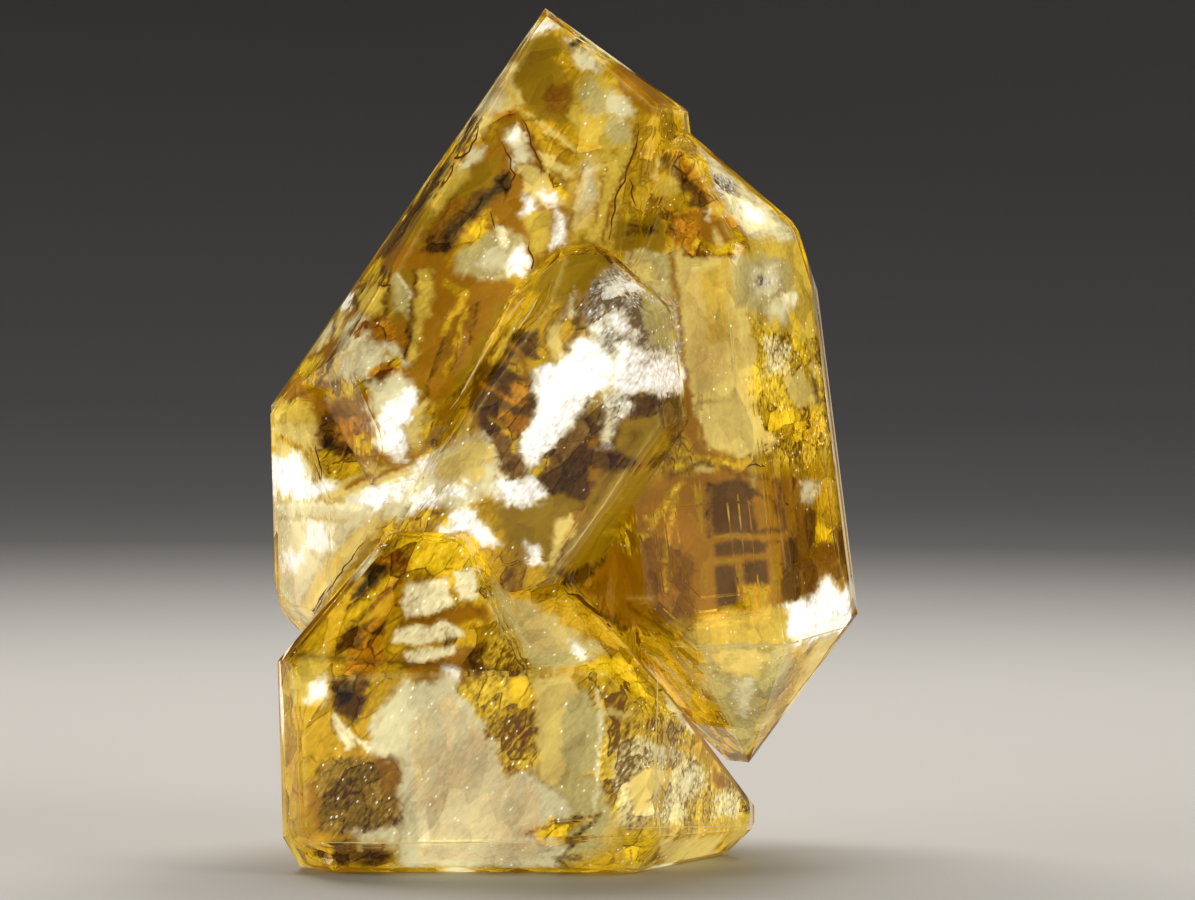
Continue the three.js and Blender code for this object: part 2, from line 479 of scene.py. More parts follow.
films = {
    # painted white highlight: the white flash of fractures catching the light, which gives off painted light
    "whiteHighlight": film((1.0, 0.985, 0.93), 0.15, 0.4, 0.98, 0.5, 0.65, 1.0),
    "pearl": film((0.80, 0.72, 0.41), 0.16, 0.3, 0.92, 0.7, 0.35, 0.6),
    "sugar": film((0.68, 0.58, 0.25), 0.35, 0.75, 0.9, 1.6, 0.6, 1.3),
    "spice": film((0.58, 0.385, 0.02), 0.45, 0.7, 0.85, 0.8, 0.6, 1.3),
    "peat": film((0.20, 0.11, 0.004), 0.5, 0.8, 0.8, 1.0, 0.6, 1.0),
    "milk": film((0.66, 0.60, 0.34), 0.12, 0.15, 0.85, 0.6, 0.8, 1.0),
    "silver": film((0.52, 0.49, 0.39), 0.45, 0.7, 0.85, 1.0, 0.6, 1.2),
    "ash": film((0.50, 0.42, 0.15), 0.13, 0.15, 0.8, 0.5, 0.6, 0.8),
    "cream": film((0.66, 0.50, 0.13), 0.16, 0.12, 0.8, 0.3, 0.4, 0.7),
    "straw": film((0.56, 0.39, 0.045), 0.2, 0.15, 0.8, 0.3, 0.5, 0.8),
    "lemon": film((0.62, 0.40, 0.005), 0.5, 0.35, 0.85, 0.5, 0.4, 1.0),
    "honey": film((0.47, 0.275, 0.003), 0.4, 0.25, 0.8, 0.35, 0.6, 1.0),
    "olive": film((0.27, 0.155, 0.002), 0.12, 0.06, 0.75, 0.0, 0.5, 0.6),
    "amber": film((0.29, 0.125, 0.001), 0.1, 0.06, 0.8, 0.0, 0.4, 0.5),
    "toffee": film((0.22, 0.092, 0.001), 0.3, 0.2, 0.8, 0.1, 0.5, 1.0),
    "pane": film((0.10, 0.04, 0.001), 0.12, 0.05, 0.75, 0.0, 0.35, 0.25),
    "rust": film((0.38, 0.155, 0.001), 0.5, 0.35, 0.85, 0.1, 0.5, 1.0),
    "umber": film((0.11, 0.046, 0.001), 0.5, 0.3, 0.75, 0.1, 0.5, 1.2),
    "bark": film((0.03, 0.013, 0.001), 0.5, 0.2, 0.5, 0.0, 0.3, 0.8),
}
filmLayers = ("mottle", "grain", "paintedGlow", "paintedGlint", "cover")

filmFinish = {
    # how many times each pattern repeats, about per mm
    "shards": 0.62,
    "bends": 0.5,
    "clouds": 0.3,
    "fines": 1.7,
    "dust": 4.2,
    "veils": 0.12,
    "flecks": 2.6,
    "bend": 0.9,  # mm, how far the shards are bent
    "dark": (0.24, 0.15, 0.06),  # what a tint is multiplied by where it is darkest
    "paleGain": 2.1,
    "pale": (1.0, 0.90, 0.40),
    # colour of the painted glint specks
    "glintColour": (1.0, 1.0, 0.97),
    "bump": 0.4,
    "bumpHeight": 0.4,  # mm
}


def filmPaint(look):
    # one finish for the lining: each place carries its own colour, patchiness, grain, painted light given
    # off, painted glints and cover
    paint = Paint("healedFilm")
    run = paint.layer("run", out=1)
    tint = paint.layer("tint", out=0)
    mottle = paint.layer("mottle")
    grain = paint.layer("grain")
    bent = paint.shifted(run, paint.scaled(paint.noise(run, look["bends"], 2, out=1), look["bend"]))
    shard = paint.node("ShaderNodeSeparateColor", {}, {0: paint.cells(bent, look["shards"], out=1)})
    cloud = paint.noise(bent, look["clouds"], 1.5)
    fine = paint.noise(run, look["fines"], 2)
    dust = paint.noise(run, look["dust"], 1)
    veil = paint.noise(run, look["veils"], 1)
    fleck = paint.cells(run, look["flecks"])
    pick = paint.node("ShaderNodeSeparateColor", {}, {0: fleck.beside(1)})
    # dark cracks run between the shards where the films are patchy
    between = paint.clamp(1.0 - paint.cells(bent, look["shards"], "DISTANCE_TO_EDGE") * 16.0)
    rift = between * paint.clamp((fine - 0.44) * 14.0) * paint.clamp((mottle - 0.24) * 4.0)
    patches = (shard - 0.5) * 1.7 + (cloud - 0.5) * 2.4 + (fine - 0.5) * 1.6
    grains = (0.3 - fleck) * 1.1 + (dust - 0.5) * 2.2
    tone = patches * mottle * 1.2 + grains * grain + (veil - 0.5) * 1.1 - rift * 0.7
    dark = paint.clamp(tone * -1.25)
    light = paint.clamp(tone * 1.1)
    deep = paint.mixColour(1.0, tint, look["dark"], "MULTIPLY")
    pale = paint.mixColour(0.08, paint.scaled(tint, look["paleGain"]), look["pale"])
    colour = paint.mixColour(dark, paint.mixColour(light, tint, pale), deep, capped=True)
    # painted glints: tiny white specks that stand in for light catching small flakes; they are white and give
    # off light
    chosen = paint.clamp((pick - 1.0 + paint.layer("paintedGlint") * 0.4) * 20.0)
    paintedGlint = paint.clamp((0.2 - fleck) * 14.0) * chosen
    colour = paint.mixColour(paintedGlint, colour, look["glintColour"])
    bump = paint.bump(fine, look["bump"], look["bumpHeight"] * mm)
    rough = paint.clamp(0.6 - light * 0.25)
    sockets = {"Base Color": colour, "Roughness": rough, "Alpha": paint.layer("cover"), "Normal": bump}
    sockets["Specular IOR Level"] = 0.0
    # painted light: the lining gives off light in its own colour, standing in for light shining through the
    # quartz from behind and below; the painted glint specks give off light too
    sockets["Emission Color"] = paint.lit(colour, paint.layer("paintedGlow") + paintedGlint)
    sockets["Emission Strength"] = 1.0
    paint.material.cycles.emission_sampling = "NONE"
    return paint.finish(paint.node("ShaderNodeBsdfPrincipled", {}, sockets))


# broad soft colours of the lining, laid over each other: kind, softness, corners in the front drawing
liningColours = [
    ("honey", 2.0, [(24, 0), (90, 0), (90, 90), (24, 90)]),
    # tall crystal
    ("amber", 1.0, [(48, 15), (56, 12), (60, 20), (56, 26), (50, 28), (38, 50), (27, 41), (38, 26)]),
    ("olive", 0.7, [(52.4, 4), (55.6, 4), (58.2, 7.6), (57.6, 14), (54.8, 13.4), (51.6, 9.4)]),
    ("straw", 0.8, [(57.5, 7), (60.5, 7), (63.8, 11), (63.4, 15), (61, 25), (57, 24), (56.8, 16)]),
    ("honey", 0.5, [(60.5, 5), (68.5, 10.8), (69, 14), (66, 17), (64, 20), (62, 25), (62.4, 18), (64, 12.5)]),
    ("cream", 0.5, [(54.4, 0.8), (56, 2.5), (52, 5), (51, 8.5), (50.4, 11), (47, 14), (43.5, 14.5)]),
    ("umber", 0.9, [(49.4, 18.6), (50.4, 19.4), (46, 23.8), (41, 26), (38, 27), (41, 22), (45, 21.5)]),
    ("amber", 0.6, [(50, 28), (52.8, 29.7), (45.5, 41), (40.5, 47), (41, 32)]),
    ("olive", 0.8, [(41.6, 33), (44, 32.4), (44.4, 38), (42, 40)]),
    # middle crystal
    ("umber", 0.9, [(48, 35), (58, 31), (60, 44), (60, 50), (52, 50.6), (48, 46)]),
    ("umber", 0.8, [(60, 40), (68.3, 39), (68.3, 43.6), (62, 50), (59, 48)]),
    ("olive", 0.6, [(58.4, 23.6), (61.2, 26.5), (60, 29), (56, 30.2), (53, 29.6)]),
    ("silver", 0.8, [(60.8, 26.8), (68, 31), (68.3, 38.4), (60, 38), (58.6, 31)]),
    ("olive", 0.8, [(49.6, 50.4), (60, 48), (65.4, 45.5), (65, 49), (57, 59.2), (50, 53)]),
    # side crystal
    ("cream", 0.6, [(67.4, 25.4), (72.4, 25.9), (75.1, 38.4), (75.6, 45), (70, 44), (68.3, 38)]),
    ("straw", 0.8, [(72.6, 24), (79.5, 24), (82, 28), (83.4, 42), (75.4, 38)]),
    ("milk", 0.6, [(69.5, 14.5), (79.5, 24), (74.5, 24), (70.8, 17.2)]),
    ("amber", 0.8, [(66, 47.4), (84.6, 47.5), (85.6, 60), (72, 61), (62, 63), (57, 59.2), (62, 51)]),
    ("umber", 0.8, [(70.6, 48), (76, 47.8), (79.4, 52), (79.4, 60.2), (71, 60.6)]),
    ("olive", 0.7, [(64.4, 53.4), (69.4, 54.4), (69.6, 62), (65, 62.6)]),
    ("straw", 0.5, [(67.6, 64.4), (72, 61.4), (77.8, 60.6), (78.8, 64.2)]),
    ("honey", 0.4, [(65, 64.4), (70, 64.5), (75.4, 77.6), (66.6, 68.6)]),
    ("ash", 0.5, [(70, 64.6), (78.7, 64.3), (76, 72), (74.6, 75.6), (71, 69)]),
    ("cream", 0.4, [(78.8, 64.4), (85.9, 62.2), (85, 66), (75.6, 77.4), (75.6, 73)]),
    # low crystal
    ("cream", 0.6, [(27, 40), (31, 42), (33, 47), (41, 46), (44, 45), (42, 49), (30, 62), (27.6, 59)]),
    # foot crystal
    ("honey", 0.5, [(36, 53.5), (47, 53), (57, 59.6), (66, 69), (60, 67), (48, 58), (38, 57)]),
    ("ash", 0.6, [
        (48.6, 57.4), (52.4, 58.2), (59, 62.4), (61.2, 65), (57, 66.9), (53.2, 66.8), (49.6, 61.6),
    ]),
    ("ash", 1.0, [(38.6, 70.4), (45, 68), (50, 75), (54, 77), (62, 78), (61, 84), (55, 87), (40, 86.8)]),
    ("amber", 0.8, [(29, 72), (33, 72.4), (36, 76), (40, 76), (40, 83.6), (31, 83.6)]),
    ("straw", 0.8, [(60, 71), (66, 70), (75.4, 80), (75.4, 82.4), (72.6, 86), (62, 86.6)]),
]

# where the grain of the quartz stands upright; elsewhere it leans to the right
sideRegion = [
    (66, 14), (80, 22), (88, 62), (76, 80), (57, 59.3),
    (66, 47), (68.4, 38), (68.2, 31), (62, 26), (63, 20),
]

# where the lining is partly open, so that the eye goes on into the clear quartz
liningGaps = [
    [(27.6, 60.4), (29.4, 62.4), (29, 66), (28.6, 82), (26, 82), (26, 60)],
    [(28, 51), (34, 51), (37, 52), (31, 61), (28.2, 58.4)],
    [(50, 58.6), (52.6, 59.4), (59.2, 63), (59.6, 64.6), (54, 65.6), (50.6, 61.6)],
    [(41, 72), (45, 69.6), (48, 73), (53.6, 78.6), (54.6, 85.6), (42, 85.8)],
    [(68.4, 27), (71.8, 27), (73, 38), (69.6, 39.4)],
    [(79.8, 66), (84.6, 64), (84, 66.4), (78.6, 72.6)],
    [(57.6, 18), (59.6, 17), (59.8, 21.6), (57.8, 23.4)],
]

# films behind the front faces, later ones laid over earlier ones: kind, corners in the front drawing
frontFilms = [
    # tall crystal: tip and right shoulder
    ("cream", [
        (54.5, 1), (56.4, 2.6), (53.8, 3.4), (51.8, 5.6), (51.4, 8.5), (52.4, 10.2), (49.8, 11.4),
        (48, 14), (43.6, 14.8), (47, 10.4),
    ]),
    ("milk", [(49, 9.6), (50.4, 9.2), (49.6, 11.2), (47.8, 12), (46.4, 14), (44.4, 14.2)]),
    ("pearl", [
        (52.2, 4.2), (53.6, 3.2), (51.6, 6.4), (49.8, 9.4), (46.6, 13.2), (45.2, 13.9), (48.4, 9.6),
    ]),
    ("whiteHighlight", [(52.6, 3.5), (54.2, 2.0), (55.6, 2.6), (54.4, 3.2)]),
    ("olive", [
        (52.4, 4), (55.6, 3.8), (57.2, 6.5), (58.2, 7.6), (57.4, 9), (58, 13), (54.8, 13), (52.6, 10),
        (51.6, 9), (51.8, 6),
    ]),
    ("toffee", [(54, 9.8), (55.6, 8.6), (56.8, 8.8), (57.2, 10.4), (56.6, 11.8), (54.8, 11.2)]),
    ("honey", [(56, 5), (57.4, 6.4), (58.2, 8), (57, 8.2), (55.4, 6.2)]),
    ("milk", [(56.2, 4.1), (57.4, 4.1), (57, 4.9)]),
    ("bark", [(56.8, 4.7), (57.5, 4.2), (57.6, 3.6), (58.5, 3.5), (58.4, 4.6), (57.3, 5.5)]),
    ("milk", [(57.7, 5.3), (59.4, 5.1), (60.5, 6.7), (59.8, 7.3), (58.3, 7.2), (57.3, 6.2)]),
    ("cream", [(58.8, 4.5), (60.4, 5.7), (60.8, 7.1), (60, 6.4)]),
    ("honey", [(60.2, 4.9), (68.4, 10.7), (68.8, 13.9), (66, 14.2), (64, 12.4), (60.8, 7.4)]),
    ("amber", [(61, 6.2), (64.6, 9), (66.4, 11), (65, 11.6), (62, 9.4)]),
    ("ash", [(58, 9.6), (59.2, 8.2), (60.3, 8.8), (60.6, 10.8), (59.6, 11.6), (58.2, 10.8)]),
    ("milk", [(60.6, 9.6), (62.2, 9.6), (63.3, 11.2), (62.4, 12.5), (60.6, 11.2)]),
    ("ash", [(61, 11.6), (63, 12.6), (63.2, 14.6), (61.4, 14.4), (60.4, 13)]),
    ("straw", [(57.6, 9.4), (58.6, 11.6), (60.6, 12), (60.4, 14), (58.2, 14), (56.8, 12)]),
    ("cream", [
        (58.3, 15.4), (59.5, 16), (60, 18.4), (59.4, 21.2), (58.4, 23), (57.4, 23.4), (57, 22.4),
        (57.6, 19),
    ]),
    ("milk", [(58.5, 16), (59.4, 17), (59.4, 19.6), (58.6, 21.4), (58, 20.6), (58.2, 18)]),
    ("straw", [(59.8, 14.2), (62.6, 14.6), (62.2, 17.6), (61, 20.6), (60.2, 22.4), (60.3, 18)]),
    ("honey", [(64, 14), (66, 15), (65.4, 19), (63.6, 20.4), (62.2, 19.6), (63, 16.4)]),
    ("cream", [(65.6, 15.8), (66, 15.9), (66.3, 18.2), (65.5, 19), (65.1, 17.4)]),
    ("umber", [(66.2, 15.1), (67.2, 15.2), (69.5, 18), (71.2, 20.2), (70, 21.4), (67.6, 19.2)]),
    ("straw", [(66.4, 18.2), (67.6, 17.9), (68, 19.6), (65, 21.1), (64.2, 20.8)]),
    ("honey", [(63, 21.4), (66.6, 19.6), (69.4, 19.4), (68.5, 21.2), (62.4, 22)]),
    ("lemon", [(62.2, 21.7), (65, 21.2), (65.8, 21.7), (64, 22.5), (62, 22.6)]),
    ("olive", [(61.6, 22.4), (66, 21.8), (66.8, 23.6), (66.4, 25.4), (61.4, 25.2)]),
    ("umber", [(63, 22.8), (65.6, 22.6), (65.6, 23.6), (63, 23.8)]),
    ("ash", [(62.6, 25.4), (66.8, 25.2), (67.4, 29.4), (65.2, 30), (62.6, 27.8)]),
    ("cream", [(63.6, 26.6), (65.4, 26.4), (66, 28.4), (64.2, 28)]),
    # tall crystal: the broken upper left
    ("honey", [(52.6, 12), (57.2, 12.8), (58, 14.8), (57.4, 16.6), (55, 16.4), (53.5, 14)]),
    ("amber", [(49.8, 12.1), (51.6, 10.5), (52.1, 11.7), (50.4, 12.5)]),
    ("milk", [(50.6, 13.2), (52, 12.7), (52.8, 14.4), (53, 16.2), (51.4, 16.8)]),
    ("whiteHighlight", [(51.4, 13.2), (52, 12.8), (51.9, 14), (51, 14.2)]),
    ("cream", [(53.8, 15.3), (55, 15.8), (57.4, 17.4), (57, 18), (54.4, 16.8)]),
    ("cream", [(52, 16.6), (54.6, 17), (56.4, 18.4), (56.5, 20.4), (54, 20.6), (52.2, 18.8)]),
    ("lemon", [(54.4, 17.4), (56.6, 18.2), (56.6, 19.8), (55, 19.8)]),
    ("amber", [(47, 17.2), (50.5, 15.1), (50.4, 17.6), (46, 21.6), (42, 25), (40, 25.6), (43, 20.6)]),
    ("lemon", [(44.4, 14.6), (46.6, 14.4), (44.6, 17.2), (42.2, 19.6), (43, 16.8)]),
    ("umber", [(43.4, 18.6), (44.2, 19), (41.6, 22.6), (39.6, 26.2), (37.4, 27.4), (38.4, 25), (41, 21)]),
    ("milk", [(46.8, 15.4), (48.8, 14.6), (48.4, 15.6), (46, 17.4), (45.2, 17.6)]),
    ("olive", [
        (50.3, 15.7), (49.6, 18.2), (46, 21.8), (42.5, 24.6), (40.8, 24.4), (41.6, 22), (45, 18.8),
        (47.5, 16.6),
    ]),
    ("bark", [(49.7, 18.2), (50.4, 17.1), (51, 18.6), (50.6, 19.5), (49.4, 19.5), (48.8, 19.2)]),
    ("straw", [(44.6, 18.2), (46.4, 17), (46.8, 18), (45, 20), (43.4, 21.6), (43.2, 20.4)]),
    ("toffee", [(45.6, 19.6), (46.8, 19.6), (45.2, 22), (42.8, 24.2), (41.6, 24), (43.8, 21.6)]),
    ("umber", [(47.6, 19.2), (50.2, 18.6), (48.8, 21), (46.4, 22.8), (44.8, 25.6), (42.4, 24.9), (45, 22)]),
    ("honey", [(46.8, 22.6), (49, 21.2), (49.6, 22.1), (48, 24), (46.2, 25.7), (44.6, 26.8), (45.2, 24.9)]),
    ("lemon", [(47, 23), (48.6, 21.9), (48.9, 22.6), (47.4, 24.2)]),
    ("ash", [(46, 25), (50, 23), (52.6, 24), (52.8, 27.4), (50.4, 28.2), (48, 28), (45.6, 27.6)]),
    ("milk", [(48.2, 25.2), (50.4, 24.2), (50.8, 26.8), (49.4, 27.4), (47.6, 26.8)]),
    ("whiteHighlight", [(51.4, 24.8), (52.4, 24.8), (52.7, 26.4), (52.3, 27.6), (51.2, 27.8), (50.9, 26.4)]),
    ("pearl", [(49.6, 22.8), (50.6, 23.2), (50.9, 24.8), (50, 24.8)]),
    ("whiteHighlight", [(55.8, 21.4), (56.3, 22), (56.3, 24.4), (55.4, 25), (55.5, 22.8)]),
    ("whiteHighlight", [(52.6, 19.8), (53.2, 20.2), (53.1, 21.4), (52.3, 21.3)]),
    ("whiteHighlight", [(54, 19.3), (55.6, 19.8), (55.6, 20.6), (54.6, 20.4)]),
    ("straw", [(52.6, 21.6), (55, 21), (55, 25), (53.4, 26), (52.8, 24)]),
    # tall crystal: left shoulder
    ("amber", [(37.8, 26.8), (41, 25), (45, 25.2), (44.4, 28), (38.4, 28.8)]),
    ("lemon", [(36.8, 26.8), (38.8, 26.4), (38.7, 28.2), (37, 28.6)]),
    ("honey", [(36.2, 29), (39.4, 28.8), (39.3, 31.6), (37, 32)]),
    ("olive", [(39.2, 27.2), (41.4, 27.2), (41.2, 32.4), (39, 32.2)]),
    ("ash", [(39.4, 27.6), (40.4, 28.6), (40.7, 31.6), (39.3, 31.2)]),
    ("straw", [(41.9, 27), (43, 27), (43.4, 29.4), (42.8, 32.4), (41.6, 36), (40.6, 36), (41.6, 31)]),
    ("whiteHighlight", [(33.8, 30.8), (35.2, 29.3), (35.8, 30.2), (35.4, 31.1)]),
    ("umber", [(35.8, 28.2), (37, 28.8), (36.6, 31), (36.2, 31.8), (35.9, 30)]),
    ("cream", [(31.4, 33.2), (35, 31.4), (34.8, 33.6), (31.6, 36), (29, 37.6), (29.6, 35.8)]),
    ("milk", [(32, 33.6), (34.2, 32.2), (34, 33.2), (32, 35)]),
    ("lemon", [(29.2, 36.8), (32, 35.8), (33.6, 36), (31.4, 38.6), (28.6, 38.4)]),
    ("amber", [(28.6, 38.4), (31.6, 38.6), (30.8, 40.2), (28.2, 40.2)]),
    ("milk", [(36.5, 31.6), (37.3, 34.4), (35.4, 38), (33.4, 39), (34.4, 35.6), (35.4, 32.6)]),
    ("lemon", [(34, 38), (36.8, 37.4), (36.6, 39.1), (34.6, 39.9), (32.2, 40.1)]),
    ("straw", [(36.4, 29.4), (38.6, 28.9), (38.4, 31.4), (36.8, 31.8)]),
    ("cream", [(33, 36.2), (34.8, 35.6), (34, 38), (32.2, 38.2)]),
    ("rust", [(37.2, 31.8), (39.8, 32.8), (40.4, 34.4), (38.6, 34.6), (36.8, 33.8)]),
    ("milk", [(36.6, 34.6), (39.8, 34.6), (41, 36.6), (38, 37.4), (35.4, 38)]),
    ("rust", [(37, 37.2), (39, 36), (40.4, 37), (39.4, 38.4), (37.2, 38.6)]),
    ("lemon", [(38.6, 35.6), (40.2, 36), (40.2, 37.6), (38.8, 37)]),
    ("milk", [(37, 38.6), (40, 37.6), (41.6, 39), (40.4, 42.4), (38.6, 43), (37, 41)]),
    ("umber", [(32, 41.4), (34.6, 40.4), (36.8, 42), (37, 44.4), (35.2, 46), (32.6, 45.2), (31.6, 43)]),
    ("rust", [(33.4, 41.8), (36.4, 41.6), (37.6, 44), (36, 45.2), (33.6, 43.6)]),
    ("bark", [(32, 44.2), (33.2, 44.2), (33.4, 45.6), (32.2, 45.6)]),
    ("lemon", [(35.6, 43.4), (37.8, 43.6), (37.6, 45), (35.8, 45.2)]),
    ("straw", [(27.8, 40.4), (31, 40.4), (31.4, 42.4), (28.6, 42.6)]),
    ("cream", [(27.5, 42), (30.4, 42.6), (31.6, 45.4), (27.6, 45.4)]),
    ("lemon", [(32, 45.2), (36, 46), (37.4, 47), (34, 48.8), (32, 47.6)]),
    ("whiteHighlight", [
        (39.8, 39.8), (41.4, 38.4), (41.8, 40.6), (40.2, 42.8), (40.8, 44.6), (40.2, 46), (38, 44),
        (37.8, 41.8),
    ]),
    ("cream", [(41.6, 41), (43, 40), (44, 41.6), (42.6, 44.6), (41, 44.4), (40.6, 43)]),
    ("lemon", [(43.4, 40.6), (44.2, 41.6), (43.4, 44.6), (41.8, 46.4), (41.6, 45)]),
    # brown ledge beside the middle crystal
    ("amber", [(42.2, 32), (48, 29.6), (50.2, 28), (52.6, 29.8), (46.4, 39.6), (43, 40.6), (42, 38)]),
    ("toffee", [(45.2, 31), (48.4, 30), (47.2, 34), (45.2, 37.4), (43.8, 36.4), (44, 33)]),
    ("olive", [(49.8, 30.4), (52.2, 30), (47, 38.4), (45.4, 39.8), (45.2, 38.4), (47.6, 34.6)]),
    # low crystal and the bright band
    ("whiteHighlight", [
        (27.7, 45.7), (30.2, 45.5), (31.2, 47.8), (34, 48.9), (30.4, 50.1), (29.4, 49.6), (27.8, 48.2),
    ]),
    ("cream", [(34, 48.4), (38, 46.6), (41.6, 46.8), (40, 48.4), (37, 49.6), (32.4, 50)]),
    ("milk", [(41, 47), (46, 44), (49, 42.6), (50, 46), (48, 50), (42, 52), (38, 51.6)]),
    ("whiteHighlight", [
        (34.6, 50.6), (38, 48.5), (40, 48), (42, 46), (44, 45.4), (43, 46.6), (41, 48.4), (40, 49.8),
        (37, 50.9),
    ]),
    ("cream", [(43.4, 46.6), (47.6, 43.4), (49.4, 45), (48.6, 48), (45, 49)]),
    ("whiteHighlight", [(41, 49.6), (43, 48.4), (44, 50), (42, 51.8), (41, 51.4)]),
    ("whiteHighlight", [(44.4, 48.6), (46.4, 48), (46.6, 49.6), (45, 49.8)]),
    ("milk", [(28, 50.2), (36, 50.4), (38, 51.4), (31, 61.6), (28, 59)]),
    ("whiteHighlight", [(31, 52), (33, 52.4), (33.2, 54.6), (31, 55)]),
    ("whiteHighlight", [(28.8, 55), (30.8, 55.4), (30.4, 57.2), (28.8, 57)]),
    ("cream", [(36.6, 52), (38, 51.6), (36, 55), (31.6, 62), (30.4, 61), (33, 56)]),
    # middle crystal
    ("olive", [(58.4, 23.9), (55.9, 25.8), (53.2, 29.4), (56.4, 30), (59, 28.6), (60.8, 26.8)]),
    ("honey", [(53, 30), (56.8, 30.6), (57.4, 33), (55, 36), (52.4, 37.2), (48.4, 38.4), (50.4, 34)]),
    ("umber", [(50.6, 33.4), (53.6, 32.8), (54, 35.4), (51, 36)]),
    ("cream", [(55, 32.6), (56.2, 32.2), (56.2, 35.6), (55, 36)]),
    ("milk", [(56.8, 30.6), (57.7, 29.3), (57.2, 31.4), (56.4, 32)]),
    ("umber", [(48, 36.4), (52.6, 37), (53.6, 40), (52.8, 44), (50, 46.4), (48.2, 43), (47.4, 40)]),
    ("rust", [(49.8, 41), (52.6, 41.4), (52.4, 43.4), (50.2, 43.2)]),
    ("rust", [(51, 38.4), (53, 38), (53, 39.6), (51.4, 39.8)]),
    ("umber", [(55, 44.4), (60, 41.4), (61, 45.6), (58.6, 50), (54.6, 49)]),
    ("silver", [(59, 29), (61.2, 27.4), (64, 29), (67.8, 31.4), (68.2, 35), (63, 36), (59, 34)]),
    ("ash", [(63.8, 29.6), (66.2, 30.8), (67.2, 33.2), (66.4, 35.2), (64.8, 34.2), (64.2, 31.4)]),
    ("whiteHighlight", [
        (58.2, 34), (60, 34.4), (61.4, 36.4), (60.6, 38.8), (58.6, 40), (57.2, 41.6), (55.6, 44),
        (54.6, 44.6), (53.6, 46.4), (52.6, 46.7), (51.9, 45.2), (52.4, 43.4), (53.6, 41.6), (53.8, 38.6),
        (53.6, 36.9), (55.4, 36.3),
    ]),
    ("whiteHighlight", [
        (61.6, 34.4), (64, 34.6), (66.4, 36), (67.8, 35.4), (68.2, 37), (68, 38.8), (66.4, 39.6),
        (64.6, 38.8), (62.8, 39.6), (61.2, 39.2), (61.4, 36.6),
    ]),
    ("whiteHighlight", [(61.2, 28.1), (62.8, 28.3), (63.8, 29.6), (61.8, 29.4)]),
    ("whiteHighlight", [(60.4, 31.3), (62.6, 31.6), (63.6, 33.2), (61.2, 32.9)]),
    ("whiteHighlight", [(58.9, 32.6), (60, 32.6), (59.6, 33.6)]),
    ("milk", [(66.4, 30.8), (68, 31.6), (68.2, 33.8), (67, 33.6)]),
    ("umber", [(61.4, 40), (64.6, 39.6), (68.2, 39.4), (68.2, 43.6), (65.6, 46.6), (62, 46), (60.8, 43)]),
    ("olive", [(62, 42), (66, 41.6), (66.6, 44.4), (64, 46), (61.6, 45)]),
    ("silver", [
        (60.2, 39.4), (63, 39.6), (63.8, 41), (61.4, 42.2), (60.9, 44.8), (60.2, 44.6), (60.4, 41.4),
    ]),
    ("milk", [(60.3, 41.8), (61, 41.6), (60.8, 44), (60.2, 44)]),
    ("lemon", [(52.8, 47), (54, 46.6), (54.8, 45.4), (55.2, 46.4), (53.6, 47.9)]),
    ("amber", [(58.8, 46.8), (60, 46.8), (59.8, 48), (58.8, 47.9)]),
    ("amber", [(58.8, 43.8), (59.8, 43.8), (59.6, 44.7), (58.8, 44.6)]),
    ("whiteHighlight", [(49, 48), (52.4, 47.9), (53.6, 48.2), (54.5, 49.4), (52.9, 50.6), (51, 50.2), (49.2, 49.4)]),
    ("milk", [(48.4, 45.8), (49.6, 46.4), (49.8, 49.6), (48.2, 49)]),
    ("olive", [(50, 50.4), (53, 50.9), (56, 51.4), (55.6, 56), (53.4, 56), (50.4, 53.4)]),
    ("olive", [
        (60.4, 47.4), (64.6, 46.6), (65, 48.4), (60.8, 54.6), (57.2, 58.6), (55.9, 56.2), (58.4, 52),
    ]),
    ("cream", [(55.6, 51.8), (57.4, 51.6), (57.6, 54), (56, 56.4), (54.8, 56.4), (55.4, 54)]),
    ("whiteHighlight", [(52.4, 54.4), (53.3, 54.9), (54, 56.4), (52.9, 55.9)]),
    ("umber", [(55.5, 57.3), (57.4, 57), (60.4, 55.6), (57, 59.2)]),
    # side crystal: pale shoulder
    ("milk", [(69.6, 14.8), (79.4, 24), (74.5, 24), (72.8, 22), (70.6, 17)]),
    ("silver", [(70.6, 17), (73.2, 18.6), (73.6, 21), (71.2, 19.4)]),
    ("pearl", [(72.2, 19.2), (76, 21.2), (77.8, 23), (74.6, 23.6), (73, 21.6)]),
    ("whiteHighlight", [(73.6, 20.6), (75.4, 21.4), (76.2, 22.4), (74.6, 22.4)]),
    ("lemon", [(68.6, 14.6), (70.4, 16.2), (70.6, 17.4), (68.4, 16.6), (66.8, 15.2)]),
    ("rust", [(68, 15), (69.6, 15.6), (69.2, 16.2)]),
    ("rust", [
        (66.6, 21.2), (69.5, 21), (73.5, 22.2), (74.4, 24.8), (72.5, 26), (68.5, 25.5), (66.8, 23.6),
    ]),
    ("umber", [(66.6, 21.4), (68.8, 21.3), (68.6, 24), (67, 23.6)]),
    ("lemon", [(69.6, 24.2), (73.6, 23.4), (74.2, 25), (71.6, 25.9), (69.4, 25.2)]),
    ("amber", [(68.8, 21.4), (72.4, 22), (73.4, 24.4), (70.4, 24.6)]),
    ("rust", [(67.4, 21.6), (69.6, 21.6), (70.4, 24.2), (68.2, 24.8)]),
    ("pearl", [(70.6, 21.3), (71, 21.3), (71, 22), (70.6, 22)]),
    ("cream", [(71, 22.8), (71.6, 23), (72.2, 24.4), (71.8, 24.9)]),
    # side crystal: smooth face, strip and right face
    ("cream", [(67.6, 25.6), (72.2, 26), (73.6, 38.2), (73, 40), (69.2, 40.2), (68.4, 33)]),
